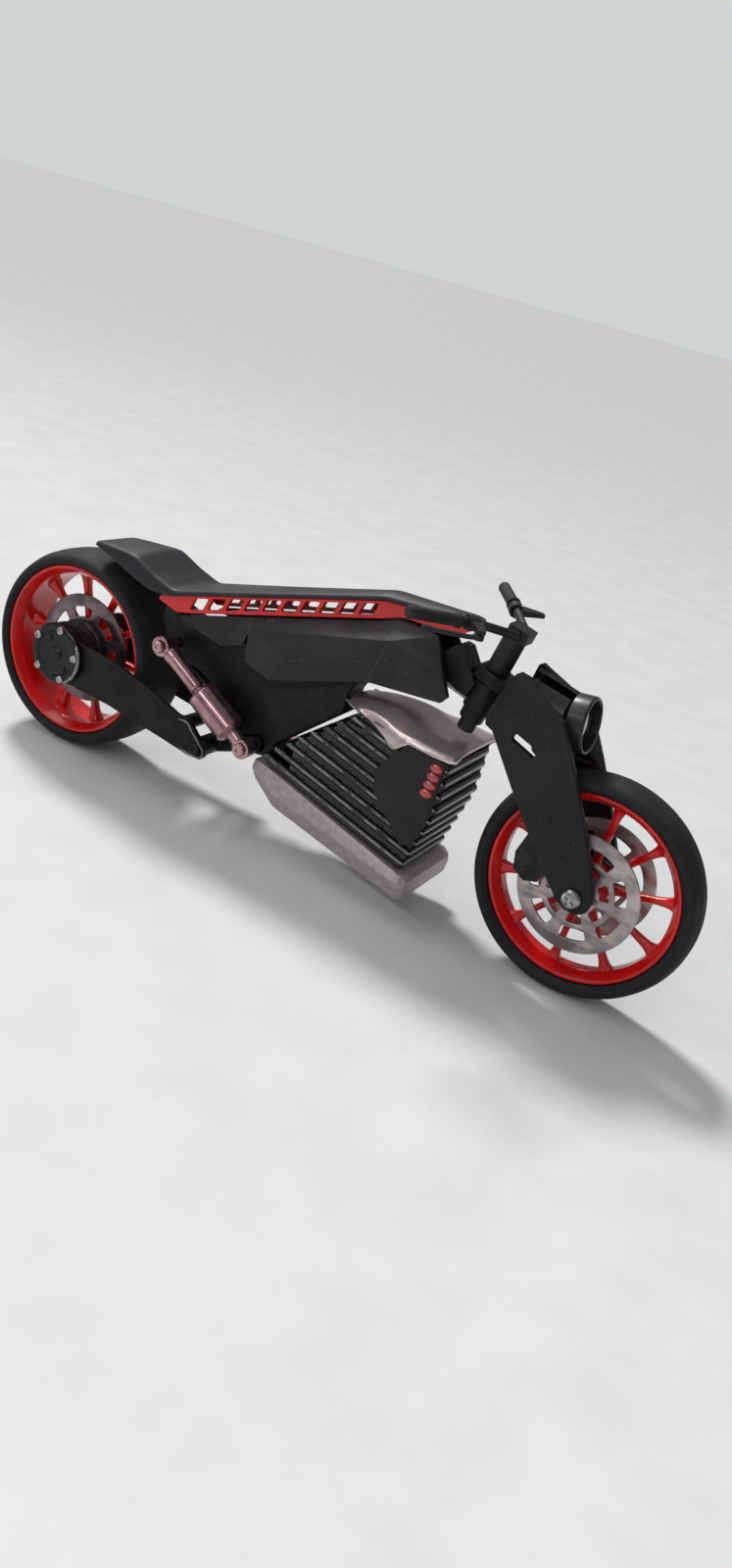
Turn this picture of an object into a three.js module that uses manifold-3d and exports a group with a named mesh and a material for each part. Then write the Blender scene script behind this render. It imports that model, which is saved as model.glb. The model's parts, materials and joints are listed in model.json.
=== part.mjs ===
// Model motorcycle for radio control: a low cruiser with a wide rear tyre, plate fork,
// finned battery case and twin rear shocks.
// Millimetres, +X forward, +Y to the rider's left, +Z up.
// Dimensions are given from the rear axle, except where a section names another frame.
// The whole model is then lifted and shifted so that the origin is the ground point
// under the middle of the bounding box.
import * as THREE from 'three';
import { mergeVertices } from 'three/addons/utils/BufferGeometryUtils.js';
import { ConvexGeometry } from 'three/addons/geometries/ConvexGeometry.js';
import Module from 'manifold-3d';

const wasm = await Module();
wasm.setup();

// ------------------------------------------------------------------ driving dimensions
// Pairs are (x, z) unless noted otherwise.
const GAP = 0.3;                 // clearance left between neighbouring pieces
const CLOSE_FIT = 0.32;          // radial clearance of a close hole
const LOOSE_FIT = 0.35;          // radial clearance of a looser hole
const REAR_AXLE = [0, 0];
const FRONT_AXLE = [255.9, 0];   // its x is the wheelbase
const TYRE_R = 45.4;             // both tyres
const TYRE_HALF_FRONT = 9.6;     // half width of the front tyre
const TYRE_HALF_REAR = 16.2;     // half width of the rear tyre
const RIM_R = 38.5;              // flange radius of both rims
const RIM_HALF_FRONT = 6.4;
const RIM_HALF_REAR = 13.7;
const SEAT_HALF_FRONT = 4.9;     // half width of the rim bed that the tyre fills
const SEAT_HALF_REAR = 12.1;
const HUB_BORE_R = 5.0;
const SPOKES = 10;
const DISC_R_FRONT = 24.4;
const DISC_Y_FRONT = 10.2;       // middle of each front disc
const DISC_R_REAR = 25.0;
const DISC_Y_REAR = -5.2;
const RAKE_DEG = 12;             // steering axis, leaning back
const HEAD = [194.0, 60.0];      // point of the steering axis
const STEM_R = 3.6;
const STEM_GRIP_R = 4.7;
const FORK_OUT = 16.5;           // outer face of each fork plate
const FORK_IN = 13.5;            // inner face of each fork plate
const LEAN_Z = 62.0;             // height where the fork plates start to lean in
const LEAN = 0.42;               // sideways shift per millimetre of height
const AXLE_R = 2.0;              // front axle, M4
const REAR_AXLE_R = 2.5;
const BAR_R = 1.7;
const PIVOT = [82.0, -12.5];     // swingarm pivot
const ARM_IN = 18.8;             // inner face of each swingarm plate
const ARM_OUT = 21.3;            // outer face of each swingarm plate
const SHOCK_Y = 16.6;
const SHOCK_TOP = [53.0, 23.2];
const SHOCK_LOW = [103.0, -4.2];
const ARM_LINK = 8.0;            // length of the steering arm and of the servo horn
const SERVO_U = -38;             // servo shaft behind the steering axis
const THROUGH = 30;              // half length of cutters that pass right through

// ------------------------------------------------------------------ materials
// colour, roughness, metalness
const FINISHES = {
  tyre: ['#1b1b1d', 0.85, 0.0],
  rim: ['#b0141c', 0.25, 0.1],
  disc: ['#8d7f80', 0.38, 0.85],
  screw: ['#c9cbcc', 0.3, 1.0],
  steel: ['#8c8f93', 0.35, 1.0],
  plate: ['#26262a', 0.55, 0.2],
  frame: ['#1c1c20', 0.6, 0.2],
  cover: ['#2c2c33', 0.6, 0.1],
  case: ['#141416', 0.4, 0.2],
  pan: ['#a8a0a0', 0.5, 0.5],
  lid: ['#b5a5a2', 0.4, 0.6],
  shock: ['#c2a5a6', 0.3, 0.75],
  rubber: ['#2a2a2e', 0.85, 0.0],
  lamp: ['#3a3a40', 0.4, 0.3],
  lens: ['#16181c', 0.08, 0.0],
  red: ['#9a2a2a', 0.35, 0.0],
  battery: ['#3b5c8c', 0.5, 0.0],
  board: ['#1f5a34', 0.6, 0.0],
  servo: ['#23395f', 0.5, 0.0],
  horn: ['#d8d6cf', 0.6, 0.0],
};
function material(finish) {
  const [color, roughness, metalness] = FINISHES[finish];
  return new THREE.MeshStandardMaterial({ color, roughness, metalness });
}

// ------------------------------------------------------------------ geometry helpers
// A part is either a three.js geometry or a Manifold solid; helpers take both.
function geometry(part) {
  if (!(part instanceof wasm.Manifold)) return part;
  const mesh = part.getMesh();
  const out = new THREE.BufferGeometry();
  out.setAttribute('position', new THREE.BufferAttribute(new Float32Array(mesh.vertProperties), 3));
  out.setIndex(new THREE.BufferAttribute(new Uint32Array(mesh.triVerts), 1));
  return out;
}
// keep positions only, weld shared corners, drop empty triangles, face outwards
function tidy(part) {
  const bare = geometry(part).clone();
  for (const name of Object.keys(bare.attributes)) {
    if (name !== 'position') bare.deleteAttribute(name);
  }
  const { attributes, index } = mergeVertices(bare, 1e-4);
  const corner = (i) => new THREE.Vector3().fromArray(attributes.position.array, 3 * i);
  const kept = [];
  let volume = 0;
  for (let i = 0; i < index.count; i += 3) {
    const [a, b, c] = index.array.slice(i, i + 3);
    if (a === b || b === c || a === c) continue;
    kept.push(a, b, c);
    volume += corner(a).dot(corner(b).cross(corner(c)));
  }
  if (volume < 0) {
    for (let i = 0; i < kept.length; i += 3) [kept[i], kept[i + 1]] = [kept[i + 1], kept[i]];
  }
  const out = new THREE.BufferGeometry();
  out.setAttribute('position', attributes.position);
  out.setIndex(kept);
  return out;
}
function solid(part) {
  if (part instanceof wasm.Manifold) return part;
  const clean = tidy(part);
  return new wasm.Manifold(new wasm.Mesh({
    numProp: 3,
    vertProperties: new Float32Array(clean.attributes.position.array),
    triVerts: new Uint32Array(clean.index.array),
  }));
}
const join = (...parts) => parts.map(solid).reduce((a, b) => a.add(b));
const cut = (...parts) => parts.map(solid).reduce((a, b) => a.subtract(b));
const overlap = (a, b) => solid(a).intersect(solid(b));

const radians = (degrees) => degrees * Math.PI / 180;
// straight line through two points, as a function of the first coordinate
const line = ([x0, z0], [x1, z1]) => (x) => z0 + (x - x0) * (z1 - z0) / (x1 - x0);
// half of an outline, followed by its mirror image in the second coordinate
const symmetric = (half) => [...half, ...half.map(([a, b]) => [a, -b]).reverse()];
function ring(r, sides, [cx, cz] = [0, 0]) {
  return Array.from({ length: sides }, (_, i) => {
    const angle = (i / sides) * Math.PI * 2;
    return [cx + r * Math.cos(angle), cz + r * Math.sin(angle)];
  });
}
// arc between two angles in degrees
function arc([cx, cz], r, from, to, steps) {
  return Array.from({ length: steps + 1 }, (_, i) => {
    const angle = radians(from + (to - from) * i / steps);
    return [cx + r * Math.cos(angle), cz + r * Math.sin(angle)];
  });
}

function wound(points, anticlockwise) {
  const out = points.map(([x, y]) => new THREE.Vector2(x, y));
  if ((THREE.ShapeUtils.area(out) > 0) !== anticlockwise) out.reverse();
  return out;
}
function shapeOf(points, holes = []) {
  const shape = new THREE.Shape(wound(points, true));
  for (const hole of holes) shape.holes.push(new THREE.Path(wound(hole, false)));
  return shape;
}
function prism(points, depth, holes) {
  return new THREE.ExtrudeGeometry(shapeOf(points, holes), { depth, bevelEnabled: false });
}
// outline in X and Z, filled between y0 and y1
function plateXZ(points, y0, y1, holes) {
  return prism(points, y1 - y0, holes).rotateX(Math.PI / 2).translate(0, y1, 0);
}
// outline in X and Y, filled between z0 and z1
const plateXY = (points, z0, z1) => prism(points, z1 - z0).translate(0, 0, z0);
// profile of [radius, y] turned about the Y axis; closed unless both ends lie on the axis
function turnY(profile, sides) {
  const points = profile.map(([r, y]) => new THREE.Vector2(r, y));
  const onAxis = ([r]) => r < 1e-6;
  if (!(onAxis(profile[0]) && onAxis(profile.at(-1)))) points.push(points[0].clone());
  return tidy(new THREE.LatheGeometry(points, sides));
}
const sleeveY = (inner, outer, y0, y1, sides) =>
  turnY([[inner, y0], [outer, y0], [outer, y1], [inner, y1]], sides);
function cylY(r, y0, y1, sides, [x, z] = [0, 0]) {
  return new THREE.CylinderGeometry(r, r, y1 - y0, sides).translate(x, (y0 + y1) / 2, z);
}
const boreY = (r, sides, place) => cylY(r, -THROUGH, THROUGH, sides, place);
function cylZ(r, z0, z1, sides, [x, y] = [0, 0]) {
  return new THREE.CylinderGeometry(r, r, z1 - z0, sides)
    .rotateX(Math.PI / 2).translate(x, y, (z0 + z1) / 2);
}
function box(x0, x1, y0, y1, z0, z1) {
  return new THREE.BoxGeometry(x1 - x0, y1 - y0, z1 - z0)
    .translate((x0 + x1) / 2, (y0 + y1) / 2, (z0 + z1) / 2);
}
// lay a turned piece so that its axis runs from a towards b; profile y = 0 lies at a
function along(piece, a, b) {
  const direction = new THREE.Vector3(...b).sub(new THREE.Vector3(...a)).normalize();
  const up = new THREE.Vector3(0, 1, 0);
  piece.applyQuaternion(new THREE.Quaternion().setFromUnitVectors(up, direction));
  return piece.translate(...a);
}
function tube(points, r, facets, steps) {
  const nodes = points.map((p) => new THREE.Vector3(...p));
  const extrudePath = new THREE.CatmullRomCurve3(nodes, false, 'catmullrom', 0.12);
  return new THREE.ExtrudeGeometry(shapeOf(ring(r, facets)),
    { extrudePath, steps, bevelEnabled: false });
}
const hull = (points) => new ConvexGeometry(points.map((p) => new THREE.Vector3(...p)));
// the same piece on the other side of the centre plane
function mirrorY(part) {
  const out = tidy(part);
  const points = out.attributes.position;
  for (let i = 0; i < points.count; i++) points.setY(i, -points.getY(i));
  return tidy(out);
}
// slide every point sideways by a rule of its x
function shearY(piece, shift) {
  const points = piece.attributes.position;
  for (let i = 0; i < points.count; i++) points.setY(i, points.getY(i) + shift(points.getX(i)));
  return piece;
}
// skin a row of equal-length closed rings, each flat in Y and Z, and cap both ends
function loft(rings) {
  const n = rings[0].length;
  const index = [];
  for (let k = 0; k < rings.length - 1; k++) {
    for (let i = 0; i < n; i++) {
      const a = k * n + i;
      const b = k * n + (i + 1) % n;
      index.push(a, b, b + n, a, b + n, a + n);
    }
  }
  // caps and sides must agree, so the caps follow the ring direction
  const flat = (points) => points.map(([, y, z]) => new THREE.Vector2(y, z));
  const clockwise = THREE.ShapeUtils.area(flat(rings[0])) < 0;
  for (const k of [0, rings.length - 1]) {
    const flip = (k === 0) !== clockwise;
    for (const triangle of THREE.ShapeUtils.triangulateShape(flat(rings[k]), [])) {
      const [a, b, c] = triangle.map((i) => k * n + i);
      index.push(...(flip ? [a, c, b] : [a, b, c]));
    }
  }
  const out = new THREE.BufferGeometry();
  out.setAttribute('position', new THREE.BufferAttribute(new Float32Array(rings.flat(2)), 3));
  out.setIndex(index);
  return out;
}

// ------------------------------------------------------------------ groups
function addGroup(parent, [x, z] = [0, 0]) {
  const group = new THREE.Group();
  group.position.set(x, 0, z);
  parent.add(group);
  return group;
}
const model = new THREE.Group();
const bike = addGroup(model);             // rear-axle frame
const steer = addGroup(bike, HEAD);       // steering frame: local Z is the steering axis
steer.rotation.y = radians(RAKE_DEG);
const frontWheel = addGroup(bike, FRONT_AXLE);
const rearWheel = addGroup(bike, REAR_AXLE);

function put(name, part, finish, parent = bike) {
  const mesh = new THREE.Mesh(tidy(part), material(finish));
  mesh.name = name;
  parent.add(mesh);
}
// a right-hand part and its mirror image
function putMirrored(name, part, finish, parent) {
  put(`${name}_right`, part, finish, parent);
  put(`${name}_left`, mirrorY(part), finish, parent);
}
// a part built once per side, from the sign of its y
function putSides(name, build, finish, parent) {
  put(`${name}_right`, build(-1), finish, parent);
  put(`${name}_left`, build(1), finish, parent);
}

// ------------------------------------------------------------------ wheels, each in its own frame
function frontTyre() {
  return turnY(symmetric([
    [36.8, -SEAT_HALF_FRONT], [38.9, -SEAT_HALF_FRONT], [38.9, -6.9],
    [41.2, -TYRE_HALF_FRONT], [43.9, -7.9], [TYRE_R, -2.8]]), 36);
}
function rearTyre() {
  return turnY(symmetric([
    [36.8, -SEAT_HALF_REAR], [38.9, -SEAT_HALF_REAR], [38.9, -14.2],
    [40.6, -TYRE_HALF_REAR], [43.0, -14.6], [44.8, -9.6], [TYRE_R, -3.6]]), 36);
}

// hub: profile of [radius, y]; inner: right-hand corner [radius, y] of the band's inside;
// spoke: sections of [radius, y low, y high, half thickness]; phase: first spoke, degrees
const FRONT_RIM = {
  halfWidth: RIM_HALF_FRONT,
  seatHalf: SEAT_HALF_FRONT,
  inner: [34.5, -2.6],
  hub: symmetric([[HUB_BORE_R, -9.2], [7.2, -9.2], [7.6, -3.4], [9.4, -2.4]]),
  spoke: [[8.6, -1.7, 1.7, 1.5], [31.4, -1.7, 1.7, 1.25], [35.2, -2.2, 2.2, 2.6]],
  phase: 86.3,
};
const REAR_RIM = {
  halfWidth: RIM_HALF_REAR,
  seatHalf: SEAT_HALF_REAR,
  inner: [34.6, -9.5],
  hub: [[HUB_BORE_R, -4.4], [12.4, -4.4], [12.4, 3.0], [9.0, 4.0], [8.4, 15.6], [6.4, 18.2],
    [HUB_BORE_R, 18.2]],
  spoke: [[11.2, -2.0, 1.9, 1.6], [31.0, -2.0, 2.0, 1.4], [35.2, -3.0, 3.0, 2.8]],
  phase: 70,
};
function rim({ halfWidth, seatHalf, inner, hub, spoke, phase }) {
  const flangeWidth = 0.9;
  const band = symmetric([inner, [37.2, -halfWidth], [RIM_R, -halfWidth],
    [RIM_R, -halfWidth + flangeWidth], [36.4, -seatHalf]]);
  const spokePoints = spoke.flatMap(([r, low, high, half]) =>
    [[r, low, -half], [r, high, -half], [r, low, half], [r, high, half]]);
  const spokes = Array.from({ length: SPOKES }, (_, i) =>
    hull(spokePoints).rotateY(-radians(phase + i * 360 / SPOKES)));
  return join(turnY(band, 36), turnY(hub, 14), ...spokes);
}

// disc with a centre bore and two rows of curved slots; phase in degrees
function brakeDisc(radius, bore, y, phase) {
  const slots = 7;
  const halfThickness = 0.5;
  // inner radius, outer radius, half angle in degrees, arc steps
  const rows = [[14.6, 19.2, 17, 2], [8.4, 12.4, 16, 1]];
  const holes = [ring(bore, 12)];
  for (let i = 0; i < slots; i++) {
    const middle = phase + i * 360 / slots;
    for (const [inner, outer, half, steps] of rows) {
      holes.push([
        ...arc([0, 0], outer, middle - half, middle + half, steps),
        ...arc([0, 0], inner, middle + half, middle - half, steps)]);
    }
  }
  return plateXZ(ring(radius, 30), y - halfThickness, y + halfThickness, holes);
}

const BEARING_R = HUB_BORE_R - GAP;
const REAR_BORE_R = REAR_AXLE_R + LOOSE_FIT;
const frontBearing = () => sleeveY(AXLE_R + LOOSE_FIT, BEARING_R, -9.0, -6.1, 12);
const rearBearing = (y0, y1) => sleeveY(REAR_BORE_R, BEARING_R, y0, y1, 12);

// open towards the right-hand swingarm plate
function motorCan() {
  return turnY([[5.6, -6.1], [13.4, -6.1], [13.6, -6.6], [13.6, -17.9], [12.2, -17.9],
    [12.2, -7.9], [5.6, -7.9]], 20);
}

// ------------------------------------------------------------------ swingarm, stator, rear axle
function motorStator() {
  return turnY([[REAR_BORE_R, -8.4], [11.7, -8.4], [11.7, -17.2], [9.0, -18.4],
    [REAR_BORE_R, -18.4]], 16);
}
function rearAxle() {
  const nut = cylY(5.0, ARM_OUT + GAP, ARM_OUT + 3.6, 6);
  return join(cylY(REAR_AXLE_R, -21.2, 22.0, 12), nut);
}
// right-hand cover over the motor end, with five cap screws on its edge
function motorCover() {
  const screws = 5;
  const cap = turnY([[0, -21.7], [13.2, -21.7], [13.9, -22.2], [13.9, -23.6], [13.1, -24.2],
    [10.4, -24.2], [9.8, -23.4], [0, -23.4]], 22);
  const edgeScrews = Array.from({ length: screws }, (_, i) => {
    const angle = radians(9 + i * 360 / screws);
    return cylY(1.7, -25.4, -23.0, 8, [11.8 * Math.cos(angle), 11.8 * Math.sin(angle)]);
  });
  const bosses = [[-4.7, 6.4], [5.2, -5.6]].map((place) => cylY(1.6, -24.4, -23.0, 8, place));
  return join(cap, ...edgeScrews, cylY(3.2, -24.6, -22.6, 8), ...bosses);
}
function swingarm() {
  const LINK_IN = 7.6;
  const LINK_OUT = 9.5;
  const reach = ARM_IN + 0.5;      // tubes sink this far into the plates
  const side = [...arc(REAR_AXLE, 13.2, 40, 290, 12), [31.6, -12.9], [61.4, -15.4],
    [78.4, -17.2], [85.2, -16.6], [87.0, -14.6], [87.0, -11.4], [75.6, -1.6], [69.4, -1.6],
    [51.5, 3.7], [31.6, 7.2]];
  // link arms from the pivot to the lower shock eyes
  const [px, pz] = PIVOT;
  const dx = SHOCK_LOW[0] - px;
  const dz = SHOCK_LOW[1] - pz;
  const length = Math.hypot(dx, dz);
  const linkHalf = 4.0;
  const nx = -dz / length * linkHalf;
  const nz = dx / length * linkHalf;
  const link = [[px + nx, pz + nz], [px - nx, pz - nz], ...arc(SHOCK_LOW, 3.2, -65, 115, 5)];
  const arm = join(
    plateXZ(side, -ARM_OUT, -ARM_IN),
    plateXZ(side, ARM_IN, ARM_OUT),
    cylY(3.2, -reach, reach, 10, [67.5, -8.6]),      // cross tube
    cylY(4.3, -reach, -LINK_IN, 12, PIVOT),          // pivot tubes
    cylY(4.3, LINK_IN, reach, 12, PIVOT),
    plateXZ(link, -LINK_OUT, -LINK_IN),
    plateXZ(link, LINK_IN, LINK_OUT));
  return cut(arm, boreY(2.0, 10, PIVOT), boreY(REAR_BORE_R, 12, REAR_AXLE),
    boreY(1.3, 10, SHOCK_LOW));
}
// cross pin with a head at each end, from headIn to headOut off the centre plane
function headedPin(place, { r, half, sides, headR, headIn, headOut, headSides }) {
  return join(cylY(r, -half, half, sides, place),
    cylY(headR, -headOut, -headIn, headSides, place),
    cylY(headR, headIn, headOut, headSides, place));
}
const PIVOT_PIN = {
  r: 1.6, half: 22.0, sides: 10, headR: 2.9, headIn: 21.6, headOut: 23.0, headSides: 10,
};
const UPPER_SHOCK_PIN = {
  r: 1.5, half: 21.6, sides: 8, headR: 2.8, headIn: 20.4, headOut: 22.0, headSides: 6,
};
const LOWER_SHOCK_PIN = {
  r: 1.0, half: 21.4, sides: 8, headR: 2.8, headIn: 20.3, headOut: 21.8, headSides: 8,
};

// ------------------------------------------------------------------ shocks
// Profiles run from the upper eye towards the lower one.
const SHOCK_LENGTH = Math.hypot(SHOCK_LOW[0] - SHOCK_TOP[0], SHOCK_LOW[1] - SHOCK_TOP[1]);
function alongShock(profile, sides, y) {
  return along(turnY(profile, sides), [SHOCK_TOP[0], y, SHOCK_TOP[1]],
    [SHOCK_LOW[0], y, SHOCK_LOW[1]]);
}
// upper rod with its eye; its thinner end slides in the cylinder
function shockRod(sign) {
  const y = sign * SHOCK_Y;
  const thick = 3.6;
  const thin = 2.6;
  return cut(join(
    cylY(4.5, y - 3.4, y + 3.4, 12, SHOCK_TOP),
    alongShock([[0, 1.5], [thick, 1.5], [thick, 23.8], [thick - 0.5, 24.4], [thin, 24.4],
      [thin, 44.0], [0, 44.0]], 12, y)),
  boreY(1.9, 10, SHOCK_TOP));
}
// lower cylinder: cup around the rod, with the lower eye
function shockCylinder(sign) {
  const y = sign * SHOCK_Y;
  const outer = 6.85;
  const bore = 2.95;
  const mouth = 26.0;
  const boreEnd = 48.5;
  const end = SHOCK_LENGTH;
  return cut(join(
    alongShock([[0, boreEnd], [0, end - 8.2], [5.0, end - 8.2], [outer, end - 9.6],
      [outer, mouth + 0.8], [outer - 0.9, mouth], [bore, mouth], [bore, boreEnd]], 14, y),
    alongShock([[0, end - 9.5], [0, end - 1.0], [3.3, end - 1.0], [3.3, end - 9.5]], 10, y),
    cylY(4.3, y - 3.3, y + 3.3, 12, SHOCK_LOW)),
  boreY(1.9, 10, SHOCK_LOW));
}

// ------------------------------------------------------------------ frame spine
const SPINE_HALF = 7.0;
const SPINE_OUTLINE = [ // x, z
  [42.5, 38.0], [41.5, 31.0], [48.5, 20.0], [56.0, 17.5], [66.8, 15.2], [77.1, 10.8],
  [87.4, 5.6], [84.0, -6.0], ...arc(PIVOT, 4.2, 140, 320, 10), [92.0, -12.0], [104.0, -9.2],
  [111.4, -7.8], [111.4, -1.2], [125.6, 12.4], [139.2, 25.2], [139.2, 34.0], [143.0, 44.0],
  [147.0, 54.5], [160.0, 57.0], [169.6, 55.2], [172.0, 57.6], [171.0, 62.0], [166.0, 66.5],
  [148.0, 63.5], [120.0, 54.5], [90.0, 44.6], [75.0, 40.0], [55.0, 35.0]];
function frameSpine() {
  return cut(plateXZ(SPINE_OUTLINE, -SPINE_HALF, SPINE_HALF),
    box(143.0, 166.6, -4.6, 4.6, 30, 90),            // pocket for the servo
    boreY(1.9, 10, PIVOT),
    boreY(1.85, 8, SHOCK_TOP),
    boreY(3.5, 10, SHOCK_LOW),                       // room for the lower shock pin to swing
    box(141.0, 157.0, 4.4, 8.0, 40.0, 58.0));        // opening for servo horn and drag link
}

// ------------------------------------------------------------------ top cover of the case
const COVER_WALL = 1.6;
// stations: x, half width, ridge height, edge height, squareness
const COVER = [
  [141.4, 11.2, 34.6, 33.5, 2.0], [143.5, 12.6, 35.2, 33.1, 2.0],
  [148.0, 14.2, 36.4, 32.5, 2.0], [153.0, 15.6, 37.4, 31.8, 2.0],
  [159.0, 17.4, 38.1, 30.6, 2.0], [165.0, 19.6, 38.2, 29.0, 2.0],
  [169.5, 21.2, 37.8, 27.4, 2.1], [172.3, 21.8, 37.3, 28.2, 2.4],
  [176.5, 22.0, 36.4, 31.4, 3.2], [183.0, 22.0, 35.4, 31.5, 4.2],
  [190.0, 22.0, 35.0, 31.6, 5.0], [195.0, 21.7, 34.9, 31.8, 5.0],
  [197.6, 21.0, 34.5, 32.4, 5.0]];
// upper and lower skin of the cover at each station, from right to left
function coverSections() {
  const steps = 16;
  return COVER.map(([x, half, ridge, edge, squareness]) => {
    const top = [];
    const low = [];
    for (let i = 0; i <= steps; i++) {
      const across = Math.sin((i / steps - 0.5) * Math.PI);
      const rise = 1 - Math.abs(across) ** squareness;
      top.push([x, across * half, edge + (ridge - edge) * rise]);
      low.push([x, across * (half - COVER_WALL), edge + (ridge - COVER_WALL - edge) * rise]);
    }
    return { x, half, edge, top, low };
  });
}
const caseTopCover = () => loft(coverSections().map(({ top, low }) => [...top, ...low.reverse()]));

// everything above the underside of the top cover
function roomForCover() {
  const side = 32;
  const ceiling = 60;
  const rings = coverSections().map(({ x, half, edge, low }) => [
    [x, -side, edge - 3.4], [x, -half - 0.3, edge - 0.35],
    ...low.map(([, y, z]) => [x, y, z - 0.45]),
    [x, half + 0.3, edge - 0.35], [x, side, edge - 3.4], [x, side, ceiling], [x, -side, ceiling]]);
  rings.push(rings.at(-1).map(([x, y, z]) => [x + 10, y, z]));
  return loft(rings);
}

// ------------------------------------------------------------------ finned battery case
const CASE_FRONT = 195.6;
const caseHalfWidth = line([112, 16.6], [CASE_FRONT, 20.2]);
// outlines of x, z
const CASE_SIDE = [[112.6, -6.0], [112.2, -2.4], [126.3, 11.2], [150.6, 32.3],
  [CASE_FRONT, 32.3], [CASE_FRONT, 8.0], [192.2, -5.0], [187.6, -21.9]];
const CASE_CORE = [[114.4, -8.0], [114.4, -2.6], [127.3, 9.4], [151.4, 30.3], [154.6, 33.4],
  [193.6, 33.4], [193.6, 8.3], [190.3, -4.4], [185.4, -24.0]];
const BATTERY_BAY = [[128, -40], [128, 6], [151.5, 26.4], [188.2, 26.4], [188.2, 7],
  [184.6, -6], [180.5, -40]];
const BAY_HALF = 15.2;
const SIDE_PLATE = [[176.6, 30.6], [171.6, 23.8], [166.0, 15.0], [167.6, 6.6], [175.6, -1.4],
  [185.6, -10.2], [189.4, -8.6], [191.8, -2.0], [193.6, 7.4], [194.2, 21.6], [194.4, 29.6]];

// side plate outline, each point moved outwards from a middle point by grow
function sidePlateOutline(grow) {
  const [cx, cz] = [183, 12];
  return SIDE_PLATE.map(([x, z]) => {
    const distance = Math.hypot(x - cx, z - cz);
    return [x + (x - cx) / distance * grow, z + (z - cz) / distance * grow];
  });
}
// side outline narrowed to the tapered plan of the case, less an inset
function taperedCase(side, inset) {
  const [rear, front] = [100, 210];
  const atRear = caseHalfWidth(rear) - inset;
  const atFront = caseHalfWidth(front) - inset;
  const plan = [[rear, -atRear], [front, -atFront], [front, atFront], [rear, atRear]];
  return overlap(plateXZ(side, -30, 30), plateXY(plan, -60, 60));
}
// nine sloping slabs; the core keeps them from cutting deeper than the fins
function caseGrooves() {
  const pitch = 5.75;
  const slope = -0.205;
  const width = 2.5;
  const slabs = Array.from({ length: 9 }, (_, i) => {
    const bottom = (x) => 27.6 - i * pitch + slope * (x - CASE_FRONT);
    return plateXZ([[90, bottom(90)], [215, bottom(215)], [215, bottom(215) + width],
      [90, bottom(90) + width]], -40, 40);
  });
  return cut(join(...slabs), taperedCase(CASE_CORE, 1.9));
}
function batteryCase() {
  const seat = sidePlateOutline(0.35);
  return cut(taperedCase(CASE_SIDE, 0), caseGrooves(),
    plateXZ(BATTERY_BAY, -BAY_HALF, BAY_HALF),       // open at the bottom, above the pan
    roomForCover(),
    plateXZ(seat, -25, -17.9),
    plateXZ(seat, 17.9, 25));
}
function batteryPack() {
  return box(-23, 23, -13.5, 13.5, -7.5, 7.5).rotateY(radians(11.3)).translate(156.5, 0, -3.0);
}
function electronics() {
  return join(
    box(152, 184, -12.5, 12.5, 15.6, 17.2),          // circuit board
    box(155, 167, -9, 9, 16.9, 22.6),                // two blocks on top
    box(170, 181, -8, 8, 16.9, 20.4),
    box(158, 180, -10, -4, 12.6, 16.0));             // block underneath
}

// outline of the lens strip, grown by a margin
const lensStrip = (margin) => [[188.3 - margin, 28.4 + margin], [193.1 + margin, 28.4 + margin],
  [191.3 + margin, 13.0 - margin], [186.5 - margin, 13.0 - margin]];
// right-hand side plate with a recess for the lens strip in its outer face
function sidePlate() {
  return cut(plateXZ(sidePlateOutline(0), -21.2, -18.3), plateXZ(lensStrip(GAP), -30, -20.1));
}
// right-hand lens strip with four raised windows, let into the plate
function indicator() {
  const windows = Array.from({ length: 4 }, (_, i) => {
    const back = i * 0.46;
    const down = i * 3.75;
    return box(188.75 - back, 192.5 - back, -22.0, -20.8, 25.2 - down, 27.7 - down);
  });
  return join(plateXZ(lensStrip(0), -21.1, -20.4), ...windows);
}

// ------------------------------------------------------------------ belly pan
// sections: x, then height of top, corner and bottom, then half width at each; rises to the rear
const PAN = [
  [106.5, -7.0, -10.5, -14.0, 14.0, 15.5, 13.0],
  [123.5, -8.7, -15.8, -22.4, 17.6, 20.2, 18.0],
  [189.2, -22.7, -26.0, -33.6, 20.6, 22.6, 20.6],
  [192.4, -24.4, -27.5, -33.0, 19.4, 21.0, 19.4]];
function bellyPan() {
  const rings = PAN.map(([x, top, corner, bottom, topHalf, cornerHalf, bottomHalf]) => [
    [x, -topHalf, top], [x, -cornerHalf, corner], [x, -bottomHalf, bottom],
    [x, bottomHalf, bottom], [x, cornerHalf, corner], [x, topHalf, top]]);
  const underCase = [[100, -3.4], [112.7, -6.35], [187.7, -22.3], [215, -27.5], [215, 0], [100, 0]];
  const inside = [[128, 0], [128, -14.4], [181, -26.4], [181, 0]];
  // room for the lower shock eyes when the swingarm is down
  const eyeRooms = [-SHOCK_Y, SHOCK_Y].map((y) =>
    cylY(5.6, y - 3.9, y + 3.9, 24, [SHOCK_LOW[0] + 0.2, SHOCK_LOW[1] - 0.6]));
  return cut(loft(rings), plateXZ(underCase, -40, 40), plateXZ(inside, -BAY_HALF, BAY_HALF),
    box(96, 111.9, -8.6, 8.6, -30, 0), ...eyeRooms);
}

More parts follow.
